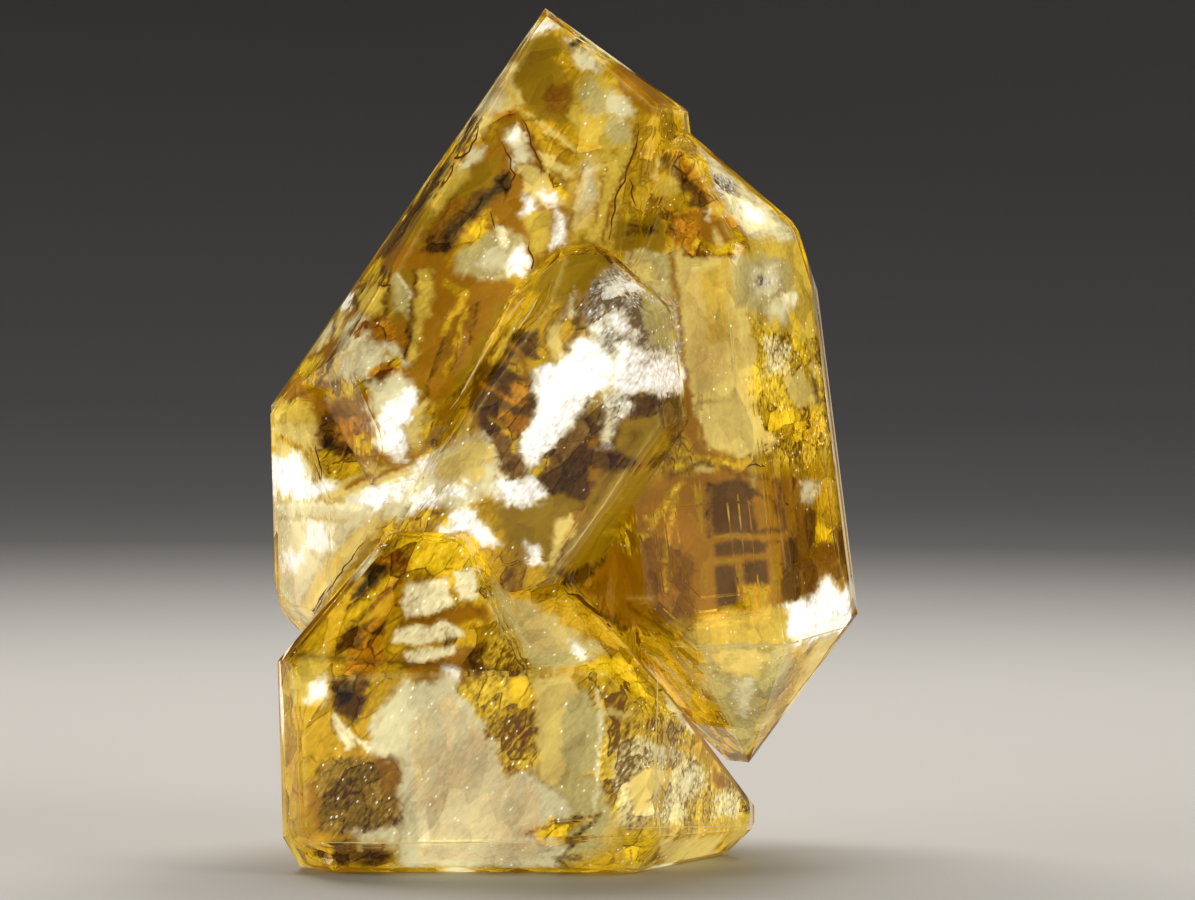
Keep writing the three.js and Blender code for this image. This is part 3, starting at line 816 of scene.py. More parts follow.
    ("straw", [(70, 26.6), (72.3, 26.4), (73.2, 34), (70.6, 34.4)]),
    ("cream", [(72.6, 26), (73.6, 26), (75.6, 37.6), (75, 40), (73.8, 40)]),
    ("ash", [(73.2, 25.5), (78.5, 25.8), (79, 30), (76, 31.6), (73.6, 30.4)]),
    ("milk", [(74.4, 26.6), (77.4, 26.4), (77.8, 29.4), (75.2, 29.8)]),
    ("silver", [(75.4, 27.6), (76.6, 27.4), (76.6, 28.4), (75.6, 28.6)]),
    ("pearl", [(77.8, 29.2), (79.4, 29.4), (79.4, 30.6), (78, 30.6)]),
    ("milk", [(76.6, 30), (78.6, 30.8), (78, 32.4), (76.2, 31.4)]),
    ("straw", [(79, 26), (81.2, 28.5), (82.6, 38), (81, 38.6), (79.6, 32)]),
    ("spice", [(75.4, 32), (80, 34), (82.8, 40), (83.4, 45), (80, 47), (76, 44.5), (74.8, 40)]),
    ("sugar", [(76.4, 33.4), (78.6, 34.4), (78.4, 38), (76.4, 37.6)]),
    ("cream", [(78.2, 38.2), (81.6, 35.6), (82.4, 38), (81.4, 40.4), (79.2, 40.6)]),
    ("lemon", [(76.2, 41.2), (80, 41.4), (80.4, 44.6), (76.8, 43.8)]),
    ("umber", [(81.2, 37.2), (82.2, 37.2), (82.3, 40.4), (81.4, 40)]),
    ("cream", [
        (69.3, 40.5), (74.4, 40.3), (76.2, 42.8), (77.6, 44), (76, 45.2), (73, 45.5), (70.6, 44.7),
        (69.8, 42.8),
    ]),
    ("amber", [
        (68.3, 38), (69.4, 40.6), (69.8, 43.6), (70.6, 45), (73.4, 45.9), (72, 46.4), (69.6, 45.4),
        (68.3, 42.6),
    ]),
    ("lemon", [(66.8, 46.8), (68.6, 44.8), (70.2, 45.8), (74, 46.4), (72, 47.6), (69, 48)]),
    ("cream", [(69.2, 46.2), (71.4, 46.6), (71, 48), (69.4, 47.8)]),
    # side crystal: the brown window
    ("amber", [(66.6, 47.6), (74, 46.8), (79, 50), (79, 60.2), (62, 62), (59, 58), (64, 50.6)]),
    ("toffee", [(78.8, 47.4), (84, 47.6), (85.4, 58), (80.4, 60), (78.6, 54)]),
    ("pane", [(71.1, 48.4), (73.8, 47.8), (75.4, 48.6), (77.9, 50.9), (78.4, 53.2), (71.3, 53.4)]),
    ("amber", [(75.2, 49.2), (76.6, 50), (77.4, 52.8), (75.8, 53)]),
    ("pane", [(71.3, 54.4), (73.4, 53.9), (76.8, 54.2), (76.6, 55.2), (71.5, 55.6)]),
    ("pane", [(71.5, 56.6), (73.6, 56.4), (73.8, 60.6), (71.8, 60.8)]),
    ("pane", [(74.2, 56.3), (76.8, 55.9), (76.9, 58.4), (74.4, 58.6)]),
    ("honey", [(74.3, 58.6), (76.8, 58.4), (76.6, 60.8), (73.9, 61.2)]),
    ("pane", [(77.8, 54), (79.4, 53.8), (79.8, 60), (77.9, 60.2)]),
    ("honey", [(80, 46.8), (83.8, 46), (85, 52), (82.4, 53), (80, 50)]),
    ("milk", [(80, 48.6), (81.2, 48), (81.8, 49.2), (80, 50.4)]),
    ("lemon", [(80.6, 52), (83, 52.6), (83.4, 54.4), (81, 54)]),
    ("amber", [(58.6, 58), (62, 54), (65.6, 53.6), (64.4, 58), (62.8, 61.4), (60, 60.4)]),
    ("toffee", [(58, 58.8), (60.4, 57.6), (61.4, 60), (60, 60.6)]),
    ("lemon", [(61.8, 53.6), (63.4, 51.8), (63.6, 54.4), (62.8, 55.4)]),
    ("toffee", [(64.4, 53.6), (67.6, 53.4), (69.2, 56), (69.4, 61.4), (65.6, 62.4)]),
    ("umber", [(58.8, 60.4), (61, 61.4), (63, 63), (62, 63.2), (59.4, 61.4)]),
    ("straw", [(67.8, 64.3), (69.6, 62.4), (72, 61.6), (77.6, 60.8), (78.4, 64.1)]),
    ("whiteHighlight", [
        (78.2, 60.7), (81, 59.8), (82.1, 57.9), (83, 58), (83.4, 59.6), (84, 59.2), (85.1, 58),
        (85.5, 62), (82.6, 63.2), (78.9, 64),
    ]),
    # side crystal: lower point
    ("honey", [(65.2, 64.7), (69.8, 65), (74.8, 75.4), (74.2, 76.8), (67, 68.4)]),
    ("ash", [(70.2, 64.8), (78.5, 64.4), (78, 67), (75.8, 71), (74.6, 74), (72.4, 71), (70.6, 68)]),
    ("cream", [(71, 65), (77, 64.8), (76, 67.4), (72.4, 67)]),
    ("milk", [(73.2, 67.6), (75.4, 67.4), (75, 70.2), (74.4, 71.6), (73.6, 70.6)]),
    ("cream", [(79, 64.4), (85.4, 62.6), (84.8, 65.8), (79.8, 72.4), (77.6, 73.8), (76, 73.4), (77.4, 70)]),
    ("honey", [(78.8, 64.8), (81, 64.4), (79.4, 68), (77.4, 71), (76.8, 71), (78, 67.4)]),
    ("pearl", [(83, 64.2), (85.6, 62.6), (85, 65.4), (80.6, 71.4), (78.2, 73.4), (79.4, 70.4), (82, 66.8)]),
    ("whiteHighlight", [(76, 72.8), (77.4, 71), (79.2, 72.6), (78, 73.8)]),
    ("amber", [(75, 74.4), (77.6, 73.9), (75.6, 77)]),
    # foot crystal: crown
    ("lemon", [(38, 53), (42, 51), (44.8, 50.8), (45, 51.8), (42, 53), (38.6, 53.8)]),
    ("whiteHighlight", [(44.2, 53), (45.5, 51), (46.8, 50.8), (50, 54.4), (48, 54.2), (45.6, 53.2)]),
    ("lemon", [(39, 53.9), (47, 53.5), (49, 55.6), (48.4, 58), (45, 57.4), (40, 57.4), (37, 56)]),
    ("rust", [(36.8, 55.8), (40, 55), (41.2, 56.6), (38, 57)]),
    ("honey", [(47.2, 54.2), (50, 55), (57, 59.8), (63, 65), (60.4, 64.4), (55, 60), (50, 57.6)]),
    ("honey", [
        (48.4, 56), (51, 56.4), (57, 60.4), (62.6, 64.8), (60.8, 65.6), (57.6, 63.4), (53, 60.6),
        (49.2, 58.6),
    ]),
    ("ash", [
        (49.2, 59), (51.6, 60), (54.8, 61.8), (57.8, 64), (59, 66.2), (57, 66.7), (53.4, 66.5),
        (50.4, 62.4),
    ]),
    ("whiteHighlight", [(57.3, 64.6), (58.3, 65), (58.4, 65.8), (57.4, 65.4)]),
    # foot crystal: striped left face
    ("olive", [(37.2, 54), (36.4, 54.8), (29.4, 66.4), (28.9, 65.8), (32, 60.8)]),
    ("bark", [(39.2, 56.2), (37.2, 56.4), (34.8, 60), (35.6, 60), (38, 57.8)]),
    ("honey", [(35.4, 60), (40.4, 56.8), (41, 60), (40.8, 66), (39, 69), (35, 70), (32.6, 66)]),
    ("rust", [(37.6, 59.8), (40.2, 57), (40.8, 57.6), (39.4, 60), (36, 62.4)]),
    ("umber", [(33.2, 64.6), (35, 62.8), (38.2, 61.8), (38, 63.4), (35.6, 65.2), (33.4, 65.4)]),
    ("rust", [(35, 65), (38.6, 63.4), (39, 66), (37, 68), (34.8, 67.4)]),
    ("umber", [(33, 67.6), (36.6, 67.4), (36.6, 70), (35.4, 72.4), (33.4, 71)]),
    ("bark", [(33.6, 68.6), (35, 68.2), (35, 70.2), (34, 70.4)]),
    ("straw", [(29.6, 66.2), (32.4, 64.6), (32.6, 68), (30.4, 70.4), (29.2, 69.4)]),
    ("whiteHighlight", [(31.2, 68.6), (32.4, 67.9), (32.2, 69.6), (31, 70.2)]),
    ("honey", [(30, 70.6), (33.2, 70.8), (35.2, 74.8), (33.4, 77.6), (30.2, 78.6), (29.6, 74)]),
    ("pearl", [(33.2, 71.8), (34, 72.8), (35.6, 74.6), (34.6, 74.9), (33.4, 73)]),
    ("peat", [(31.4, 76.6), (34, 75.8), (39.4, 75.4), (39.8, 82.4), (36, 83.6), (32, 83)]),
    ("toffee", [(37.4, 75.6), (39.6, 75.8), (39.8, 79), (38.4, 79.6)]),
    ("umber", [(31, 84.4), (39.6, 84.4), (38.8, 86), (32.4, 85.8)]),
    ("milk", [(35, 83.4), (39.8, 82.6), (41, 81.4), (40.4, 83.9), (36, 84.2)]),
    # foot crystal: pale rungs
    ("lemon", [(44.8, 56.4), (48, 56.2), (48.6, 60), (46, 60.2), (44.6, 58.4)]),
    ("pearl", [(45.3, 57.4), (47.6, 57), (48, 59.6), (46, 60.3)]),
    ("pearl", [(40.6, 58.6), (44.6, 57.8), (45.4, 60.9), (40.8, 61.8), (40.2, 60.4)]),
    ("amber", [(40.6, 61.9), (45.4, 61.1), (48.6, 60.5), (49.2, 62), (45, 62.4), (40.4, 62.6)]),
    ("pearl", [(39.8, 62.9), (45.4, 62.2), (46.4, 63.5), (41.6, 64.5), (39.2, 64.3)]),
    ("pearl", [(40.4, 65.1), (45.6, 64.4), (45.6, 65.6), (40.8, 66.4)]),
    ("amber", [(40.8, 66.5), (46.2, 65.4), (49.2, 64), (49, 67), (46.6, 68.6), (40.8, 67.6)]),
    ("umber", [(46, 65), (48.8, 64.4), (48.8, 66.6), (47, 67.6)]),
    ("whiteHighlight", [(44.4, 67), (45.6, 66.9), (45.8, 68), (44.8, 68.6)]),
    # foot crystal: clear window and speckled middle
    ("milk", [
        (38.6, 70.4), (40.4, 68.2), (45, 67.8), (48.4, 70.4), (50, 75), (54, 78), (57, 80), (56, 86.4),
        (40.4, 86.4), (40, 76), (36.8, 75), (37, 72.4),
    ]),
    ("spice", [(47, 67.4), (50, 63), (53, 67.6), (54.2, 70), (54, 76), (51, 77.6), (48.4, 73), (46, 69)]),
    ("spice", [(57.6, 69), (60.4, 68.6), (62, 74), (60.6, 78), (58, 77)]),
    ("lemon", [(50.4, 67), (53, 68), (53.6, 71), (52, 72.6), (51, 69.6)]),
    ("rust", [(51.6, 73), (52.8, 72.6), (53, 74.6), (51.8, 74.6)]),
    ("cream", [(53.2, 68), (57, 67.6), (58, 70), (56, 79), (54.2, 78)]),
    ("ash", [(56.4, 70), (58.4, 69), (60.4, 72), (60.6, 76.4), (57, 78), (56, 75)]),
    ("lemon", [(58, 66.2), (61.4, 66), (65, 69.6), (66.4, 72), (66, 74.4), (62, 73.8), (59.6, 70)]),
    ("cream", [(60, 70.6), (62, 71), (64, 71.4), (63, 71.9), (60.4, 71.6)]),
    ("honey", [(62.4, 71.8), (66, 71), (66.4, 74.6), (63.4, 74.8)]),
    ("lemon", [(53, 83.1), (55, 82), (60, 81.4), (57.4, 82.8), (56, 84.3), (54.4, 84.1)]),
    ("umber", [(55.4, 85.6), (57, 85.3), (58.4, 85.5), (57, 85.8)]),
    # foot crystal: sugared right face
    ("spice", [
        (60, 73.6), (66, 70.4), (70, 74), (75, 79), (75.4, 81.4), (73, 82.4), (62, 82.6), (59.8, 78),
    ]),
    ("sugar", [(61.4, 74.6), (65, 73.8), (67, 76), (66, 82), (61.6, 82.4)]),
    ("cream", [(63, 77.6), (65.4, 76.4), (66, 78), (64.6, 81), (63.2, 81.4)]),
    ("milk", [(64.4, 74.6), (66.6, 74.4), (67, 75.6), (65.2, 76)]),
    ("sugar", [(67.4, 75.6), (70.4, 76.4), (69.6, 79), (67.8, 82.2), (66, 82), (66, 79.4)]),
    ("pearl", [(68, 77), (69.2, 77.4), (68.4, 79), (67.6, 79.4)]),
    ("sugar", [(70.6, 79.2), (73.4, 79), (74, 81.8), (70.8, 81.6)]),
    ("honey", [(68.4, 72.4), (71, 75), (72.2, 77.4), (70.2, 77), (68.6, 75)]),
    ("amber", [(70.8, 76.4), (72.2, 77.6), (72.2, 79), (70.6, 78.2)]),
    ("lemon", [(62.4, 83), (72.4, 82.8), (71.8, 85.6), (62.4, 86.2)]),
    ("cream", [(65.4, 83.4), (71.6, 83.2), (70.8, 85.6), (66, 86)]),
    ("milk", [
        (66.2, 69.2), (67.2, 70.4), (71.4, 74.2), (75.2, 78.9), (74.4, 78.6), (70.6, 74.7), (66.4, 70.4),
    ]),
]

# bands and veins painted over the films: kind, half width, the line they follow in the front drawing
frontStrokes = [
    # tall crystal: bands along the broken left side
    ("umber", 0.22, [(47.9, 12), (47.3, 13.6), (46.5, 15), (46.2, 16)]),
    ("lemon", 0.16, [(47.1, 12.6), (45.6, 14.6), (44.2, 16.4)]),
    ("umber", 0.16, [(46.2, 13), (44.6, 15.2), (43.2, 17)]),
    ("amber", 0.2, [(49.7, 13), (50.2, 15), (50.8, 17.2)]),
    ("toffee", 0.24, [(52, 12), (52.8, 13.6), (53.5, 15.4), (54.2, 17.4)]),
    ("rust", 0.3, [(50, 11.9), (51.4, 11.1)]),
    ("straw", 0.3, [(45.6, 16.9), (44.4, 18.6), (43.4, 19.6)]),
    ("umber", 0.55, [(50.4, 18.2), (48.7, 20.1), (46.4, 21.6), (44.6, 23), (43.4, 25)]),
    ("bark", 0.3, [(50.7, 17.7), (50, 18.9)]),
    ("bark", 0.3, [(49.8, 19), (48.2, 20.6), (46.4, 21.9), (45.2, 23.4), (44.3, 25.2)]),
    ("bark", 0.22, [(42.7, 18.2), (42.1, 19.4), (41.2, 20.6)]),
    ("umber", 0.3, [(45.3, 16.8), (43.9, 18.8), (42.4, 21), (40.8, 23.2)]),
    ("umber", 0.4, [(42.6, 18.6), (41, 20.8), (39.6, 22.6), (38, 25.4)]),
    ("lemon", 0.2, [(43.4, 18), (42, 20.4), (40.6, 22)]),
    ("lemon", 0.2, [(40.8, 20.4), (39.4, 22.2)]),
    ("rust", 0.25, [(38.4, 25.6), (37.2, 27.4), (36, 28.6)]),
    ("straw", 0.15, [(50.8, 9), (51.6, 10.8), (52.8, 11.8)]),
    ("cream", 0.14, [(52.6, 11.4), (55, 13.2), (57.6, 15.2)]),
    ("toffee", 0.12, [(52.6, 11.9), (55, 13.8), (57.2, 15.6)]),
    ("amber", 0.2, [(61.2, 20.6), (60.6, 22.6), (60.4, 24.4)]),
    ("cream", 0.12, [(58.4, 12.2), (59.2, 9.8), (59.8, 8.6)]),
    ("toffee", 0.16, [(63.8, 12.6), (63.2, 15.2), (62.2, 18), (61.4, 20.4)]),
    ("toffee", 0.14, [(64.6, 15), (64, 18), (63, 20.6)]),
    ("milk", 0.12, [(39.8, 27.8), (40.7, 28.8), (41, 31)]),
    ("umber", 0.2, [(41.5, 27), (41.4, 30), (41, 33), (40.6, 36)]),
    ("umber", 0.18, [(38.9, 27.2), (38.8, 30), (38.4, 32.4)]),
    ("rust", 0.25, [(35.6, 33.8), (36.8, 32.4)]),
    ("toffee", 0.2, [(34.2, 31.6), (33.6, 34.6), (31.6, 36.4)]),
    ("toffee", 0.2, [(33.8, 35.8), (31.4, 39.2), (29.4, 40.4)]),
    ("honey", 0.3, [(52, 30.6), (48.8, 35.2), (46.2, 38.8), (43.8, 40.6)]),
    ("umber", 0.16, [(45, 31), (44.4, 34), (43, 38), (42.6, 40)]),
    ("umber", 0.14, [(48, 30.4), (47, 33.6), (45.4, 37.2)]),
    ("honey", 0.16, [(46.6, 30.8), (45.8, 34), (44.4, 37.6)]),
    ("umber", 0.35, [(66.3, 15.2), (68, 17.4), (69.8, 20), (70.6, 21.6)]),
    ("rust", 0.3, [(67.8, 15.6), (69.6, 18), (71.4, 20.6)]),
    ("amber", 0.3, [(60.2, 5.4), (63.6, 8), (66.8, 10.6)]),
    ("honey", 0.2, [(56.4, 13.4), (58.8, 15), (61.6, 15.4)]),
    ("toffee", 0.1, [(58.6, 16), (57.6, 19), (57.2, 22.6)]),
    ("toffee", 0.1, [(60.6, 16.4), (60.2, 19.4), (59.2, 22.8)]),
    ("amber", 0.3, [(53.2, 27.6), (51.4, 30.6), (49, 33.4)]),
    ("honey", 0.35, [(44.6, 28.6), (46.6, 29.4), (44.2, 33.6)]),
    # low crystal
    ("amber", 0.25, [(44.2, 40.6), (43.4, 43.6), (41, 46), (38, 47.2), (34.6, 48.8)]),
    ("honey", 0.3, [(28, 43.6), (30.6, 44.8), (32, 46.8), (34.6, 47.6)]),
    ("pearl", 0.2, [(28.2, 50.4), (33, 50.4), (37, 51.2)]),
    ("ash", 0.16, [(28.4, 51.6), (32, 51.8), (34.8, 52)]),
    # middle crystal
    ("rust", 0.2, [(48.6, 38.4), (50.4, 39.8), (52.4, 40.2)]),
    ("honey", 0.2, [(49.2, 41.8), (51.4, 43.6), (51.2, 45.2)]),
    ("amber", 0.25, [(50.8, 34.4), (52.4, 35.6), (52.6, 37.6)]),
    ("straw", 0.2, [(52.6, 31.4), (51.6, 33.2), (49.8, 36)]),
    ("pearl", 0.16, [(60.4, 39), (60.8, 41), (60.5, 43.8)]),
    ("pearl", 0.12, [(61.4, 39.2), (61.6, 41), (61.2, 42.6)]),
    ("toffee", 0.2, [(58.4, 50.6), (56.6, 54), (55.6, 57)]),
    # side crystal
    ("amber", 0.2, [(67.2, 26), (67.9, 31), (68.4, 37), (69.2, 41), (70.6, 44.6)]),
    ("straw", 0.16, [(72.4, 26), (73.4, 32), (74.6, 39.6)]),
    ("lemon", 0.2, [(78.8, 31.4), (79.8, 35), (81, 38.6)]),
    ("spice", 0.5, [(81.4, 34), (82, 37.6), (82.8, 41)]),
    ("toffee", 0.2, [(67, 47.6), (70.4, 46.2), (73.6, 47.2), (76.4, 47.8), (78.4, 50.4)]),
    ("lemon", 0.25, [(68.2, 48.2), (66, 51.2), (63.4, 55.4)]),
    ("honey", 0.2, [(67.6, 50), (66.8, 54), (66.4, 59)]),
    ("umber", 0.2, [(70.9, 48.4), (70.9, 53.6)]),
    ("umber", 0.2, [(78.9, 53.6), (79.3, 60)]),
    ("toffee", 0.2, [(60, 60.8), (64, 62.6), (67.4, 63.6)]),
    ("honey", 0.4, [(79.4, 66.6), (77.6, 70.8), (75.6, 73.6)]),
    # foot crystal
    ("umber", 0.2, [(34.8, 60.9), (39.2, 56.9)]),
    ("lemon", 0.18, [(35.1, 61.6), (39.8, 57.3)]),
    ("umber", 0.18, [(35.4, 62.3), (40.4, 57.8)]),
    ("honey", 0.18, [(35.8, 62.8), (40.6, 58.4)]),
    ("rust", 0.2, [(36.2, 63.6), (40.4, 59.6)]),
    ("toffee", 0.28, [(40.4, 62.2), (43.8, 61.6), (47.2, 60.7), (48.8, 62.2)]),
    ("toffee", 0.28, [(40.2, 66.9), (45.1, 66.2), (48, 64.7)]),
    ("pearl", 0.26, [(33.3, 71.4), (35, 73.5), (36.9, 74.8)]),
    ("honey", 0.35, [(50.8, 55.6), (55.6, 59), (60.4, 62.6), (64.8, 66.2)]),
    ("umber", 0.14, [(52.6, 83.5), (55.6, 82.2), (59.8, 81.5)]),
    ("umber", 0.14, [(56, 85.4), (57.6, 83.6), (59.6, 82)]),
    ("pearl", 0.14, [(59.4, 80.6), (60, 74), (59.8, 69)]),
    ("honey", 0.2, [(64.4, 70.4), (66.2, 73.6), (66.4, 77), (65.6, 81)]),
    ("pearl", 0.16, [(66.6, 71), (70.6, 74.8), (74.6, 79.2)]),
]

lining = {
    "depth": 0.75,  # mm under the skin
    "mostShell": 2.0,  # how many times the depth a corner may move
    "least": 0.15,  # mm, no part of the lining comes nearer to the skin
    "flat": 0.01,  # mm, a face bent more than this is split
    "cell": 0.32,  # mm, mesh size behind the front faces
    "backCell": 0.8,
    "ground": "honey",
    "pitch": 1.6,  # mm, how often the smooth part of the raggedness repeats
    "smooth": 0.55,  # its strength
    "chips": ((1.1, 1.0), (0.6, 0.6)),  # mm across and strength of the blocks that break an edge
    "rag": 0.28,  # mm, how ragged the edges of the films are
    "halo": 0.6,  # mm, how far a painted pearly shine spreads round the painted white highlights
    "haloStrength": 0.8,
    "rimmed": ("pearl", "milk", "cream", "lemon", "silver"),  # pale films with a brown rim
    "rimWidth": 0.3,
    "rimStrength": 0.6,
    "strokeSoft": 0.3,
    "strokeRag": 0.6,
    "gapSoft": 0.5,
    "gapOpen": 0.22,  # how much of the cover a gap takes away
    # painted shade along the sunken edges between the crystals, painted highlight along the standing ones:
    # sunken or standing, reach in mm, kind, strength
    "edgeShadeAndHighlight": ((True, 0.7, "umber", 0.75), (False, 0.35, "cream", 0.35)),
    "shadedEdgeLength": 3,  # mm, shorter edges get no painted shade line
    "shadedEdgeFace": 9,  # square mm, nor do the edges of smaller faces
    "shadedEdgeTurn": 18,  # degrees, nor do flatter edges
    "shadedEdgeSpacing": 0.4,  # mm
    "lean": -35,  # degrees, how the grain of the quartz leans
    "seed": 11,
    "backPatches": 420,
    "patchReach": (1.2, 8),  # mm
    "patchRag": 0.9,  # mm
    "patchKinds": (
        "honey", "amber", "straw", "cream", "olive", "milk", "umber", "lemon",
        "rust", "silver", "whiteHighlight", "honey", "spice", "pearl", "toffee",
    ),
    "smallKinds": ("whiteHighlight", "silver", "pearl", "milk", "umber"),
    "smaller": 0.45,
}


def edgePlaces(look, bm, sunken):
    # points along the long edges between big faces, either the sunken ones or the standing ones
    places = []
    for edge in bm.edges:
        if not edge.is_manifold or edge.calc_length() < look["shadedEdgeLength"] * mm:
            continue
        if min(face.calc_area() for face in edge.link_faces) < look["shadedEdgeFace"] * mm * mm:
            continue
        turn = edge.calc_face_angle_signed() * (-1 if sunken else 1)
        if turn > math.radians(look["shadedEdgeTurn"]):
            count = int(edge.calc_length() / (look["shadedEdgeSpacing"] * mm)) + 1
            places += [edge.verts[0].co.lerp(edge.verts[1].co, k / count) for k in range(count + 1)]
    return places


def wander(points, pitch):
    # a smooth random push for each point, repeating about every pitch mm
    return np.array([tuple(noise.noise_vector(Vector(point) / (pitch * mm))) for point in points])


def steps(points, pitch):
    # a random push for each small leaning block, which breaks an edge into chips
    lean = Euler((0.3, math.radians(lining["lean"]), 0.4)).to_matrix() * (1 / (pitch * mm))
    return np.array([tuple(noise.cell_vector(lean @ Vector(point))) for point in points]) - 0.5


def twist(face):
    # how far the corners of a face stand off its mean plane
    middle = face.calc_center_median()
    return max(abs((vert.co - middle).dot(face.normal)) for vert in face.verts)


def keptUnder(point, least):
    # the point, moved in where it lies nearer than least to the skin
    place, normal, index, away = skinTree.find_nearest(point)
    if (place - point).dot(normal) > least:
        return point
    return place - normal * least


def inAir(spot, least):
    # whether the spot stands more than least outside the skin
    place, normal, index, away = skinTree.find_nearest(spot)
    if away < least or (spot - place).dot(normal) < 0:
        return False
    sky = Vector((0.3, 0.5, 0.8)).normalized()
    crossed = 0
    hit = skinTree.ray_cast(spot, sky)[0]
    while hit is not None:
        crossed += 1
        hit = skinTree.ray_cast(hit + sky * 1e-6, sky)[0]
    return crossed % 2 == 0


def sunkenBody(look):
    # the cluster's body with its faces moved in, and the faces that this bends split
    bm = clusterBody()
    bm.normal_update()
    shells = [min(vert.calc_shell_factor(), look["mostShell"]) for vert in bm.verts]
    sunk = [vert.co - vert.normal * shell * look["depth"] * mm for vert, shell in zip(bm.verts, shells)]
    for vert, place in zip(bm.verts, sunk):
        vert.co = place
    bm.normal_update()
    bent = [face for face in bm.faces if len(face.verts) > 3 and twist(face) > look["flat"] * mm]
    bmesh.ops.triangulate(bm, faces=bent)
    return bm


def valuesOf(kind):
    # a film's colour and its other values as one row
    return np.array([*films[kind]["tint"], *(films[kind][name] for name in filmLayers)])


def share(inner, soft):
    # how much of a patch shows, from how far inside its edge a place is and how soft the edge is
    return np.clip(inner / soft + 0.5, 0, 1)


def laid(values, over, amount):
    # the values with others laid over them, as much of these as the amount says
    return values + (over - values) * amount[:, None]


def groundValues(look, spots, facing):
    values = np.tile(valuesOf(look["ground"]), (len(spots), 1))
    for kind, soft, corners in liningColours:
        values = laid(values, valuesOf(kind), share(insideBy(spots, corners), soft * 2) * facing)
    return values


def addBackPatches(look, values, points, push, facing):
    # seeded patches on the sides that the front drawing doesn't reach
    chance = random.Random(look["seed"])
    hidden = np.nonzero(~facing)[0]
    for patch in range(look["backPatches"]):
        middle = points[hidden[chance.randrange(len(hidden))]]
        reach = chance.uniform(*look["patchReach"]) * mm
        squash = np.array([1.0, 1.0, chance.uniform(0.4, 1.0)])
        away = np.linalg.norm((points - middle) * squash, axis=1) + push[:, 0] * look["patchRag"] * mm
        kind = chance.choice(look["patchKinds"])
        if kind in look["smallKinds"]:
            reach *= look["smaller"]
        amount = share(reach - away, films[kind]["soft"] * 2 * mm) * ~facing
        values[:] = laid(values, valuesOf(kind), amount)


def addFrontFilm(look, shown, near, drift, kind, corners):
    low = np.min(corners, axis=0) - 1
    high = np.max(corners, axis=0) + 1
    some = np.nonzero(np.all((near > low) & (near < high), axis=1))[0]
    deep = insideBy(near[some] + drift[some] * films[kind]["rag"], corners)
    if kind in look["rimmed"]:
        rim = np.exp(-((deep + 0.1) / look["rimWidth"]) ** 2) * np.clip(0.55 + drift[some, 0], 0, 1)
        shown[some, :3] = laid(shown[some, :3], films["toffee"]["tint"], rim * look["rimStrength"])
    # a painted pearly shine spreads round each painted white highlight
    if kind == "whiteHighlight":
        halo = np.clip((deep + look["halo"]) / 0.7, 0, 1) * look["haloStrength"]
        shown[some] = laid(shown[some], valuesOf("pearl"), halo)
    shown[some] = laid(shown[some], valuesOf(kind), share(deep, films[kind]["soft"]))


def frontValues(look, shown, near, drift):
    # the films, strokes and gaps of the front drawing, laid over the broad colours
    for kind, corners in frontFilms:
        addFrontFilm(look, shown, near, drift, kind, corners)
    for kind, width, line in frontStrokes:
        away = besideLine(near + drift * look["strokeRag"], line)
        shown = laid(shown, valuesOf(kind), share(width - away, look["strokeSoft"]))
    for corners in liningGaps:
        shown[:, -1] *= 1 - look["gapOpen"] * share(insideBy(near, corners), look["gapSoft"])
    return shown


# paints a line of shade along a sunken edge, and a line of highlight along a standing one, in the kind's tint
def addPaintedEdgeShading(values, points, push, places, reach, kind, strength):
    tree = KDTree(len(places))
    for order, place in enumerate(places):
        tree.insert(place, order)
    tree.balance()
    away = np.array([tree.find(Vector(point))[2] for point in points]) / mm
    amount = np.clip(1.0 - away / reach + push[:, 1] * 0.5, 0, 1) * strength
    values[:, :3] = laid(values[:, :3], films[kind]["tint"], amount)


def grainRun(look, points, flat):
    # where each point lies in the grain of the quartz, which the patterns of the finish are stretched along
    turn = np.array(Matrix.Rotation(math.radians(look["lean"]), 3, "Y"))
    leaning = (points / mm) @ turn.T * np.array([1.0, 1.0, 0.45])
    upright = (points / mm) * np.array([1.0, 1.0, 0.6]) + 40
    return np.where((insideBy(flat, sideRegion) > 0)[:, None], upright, leaning)


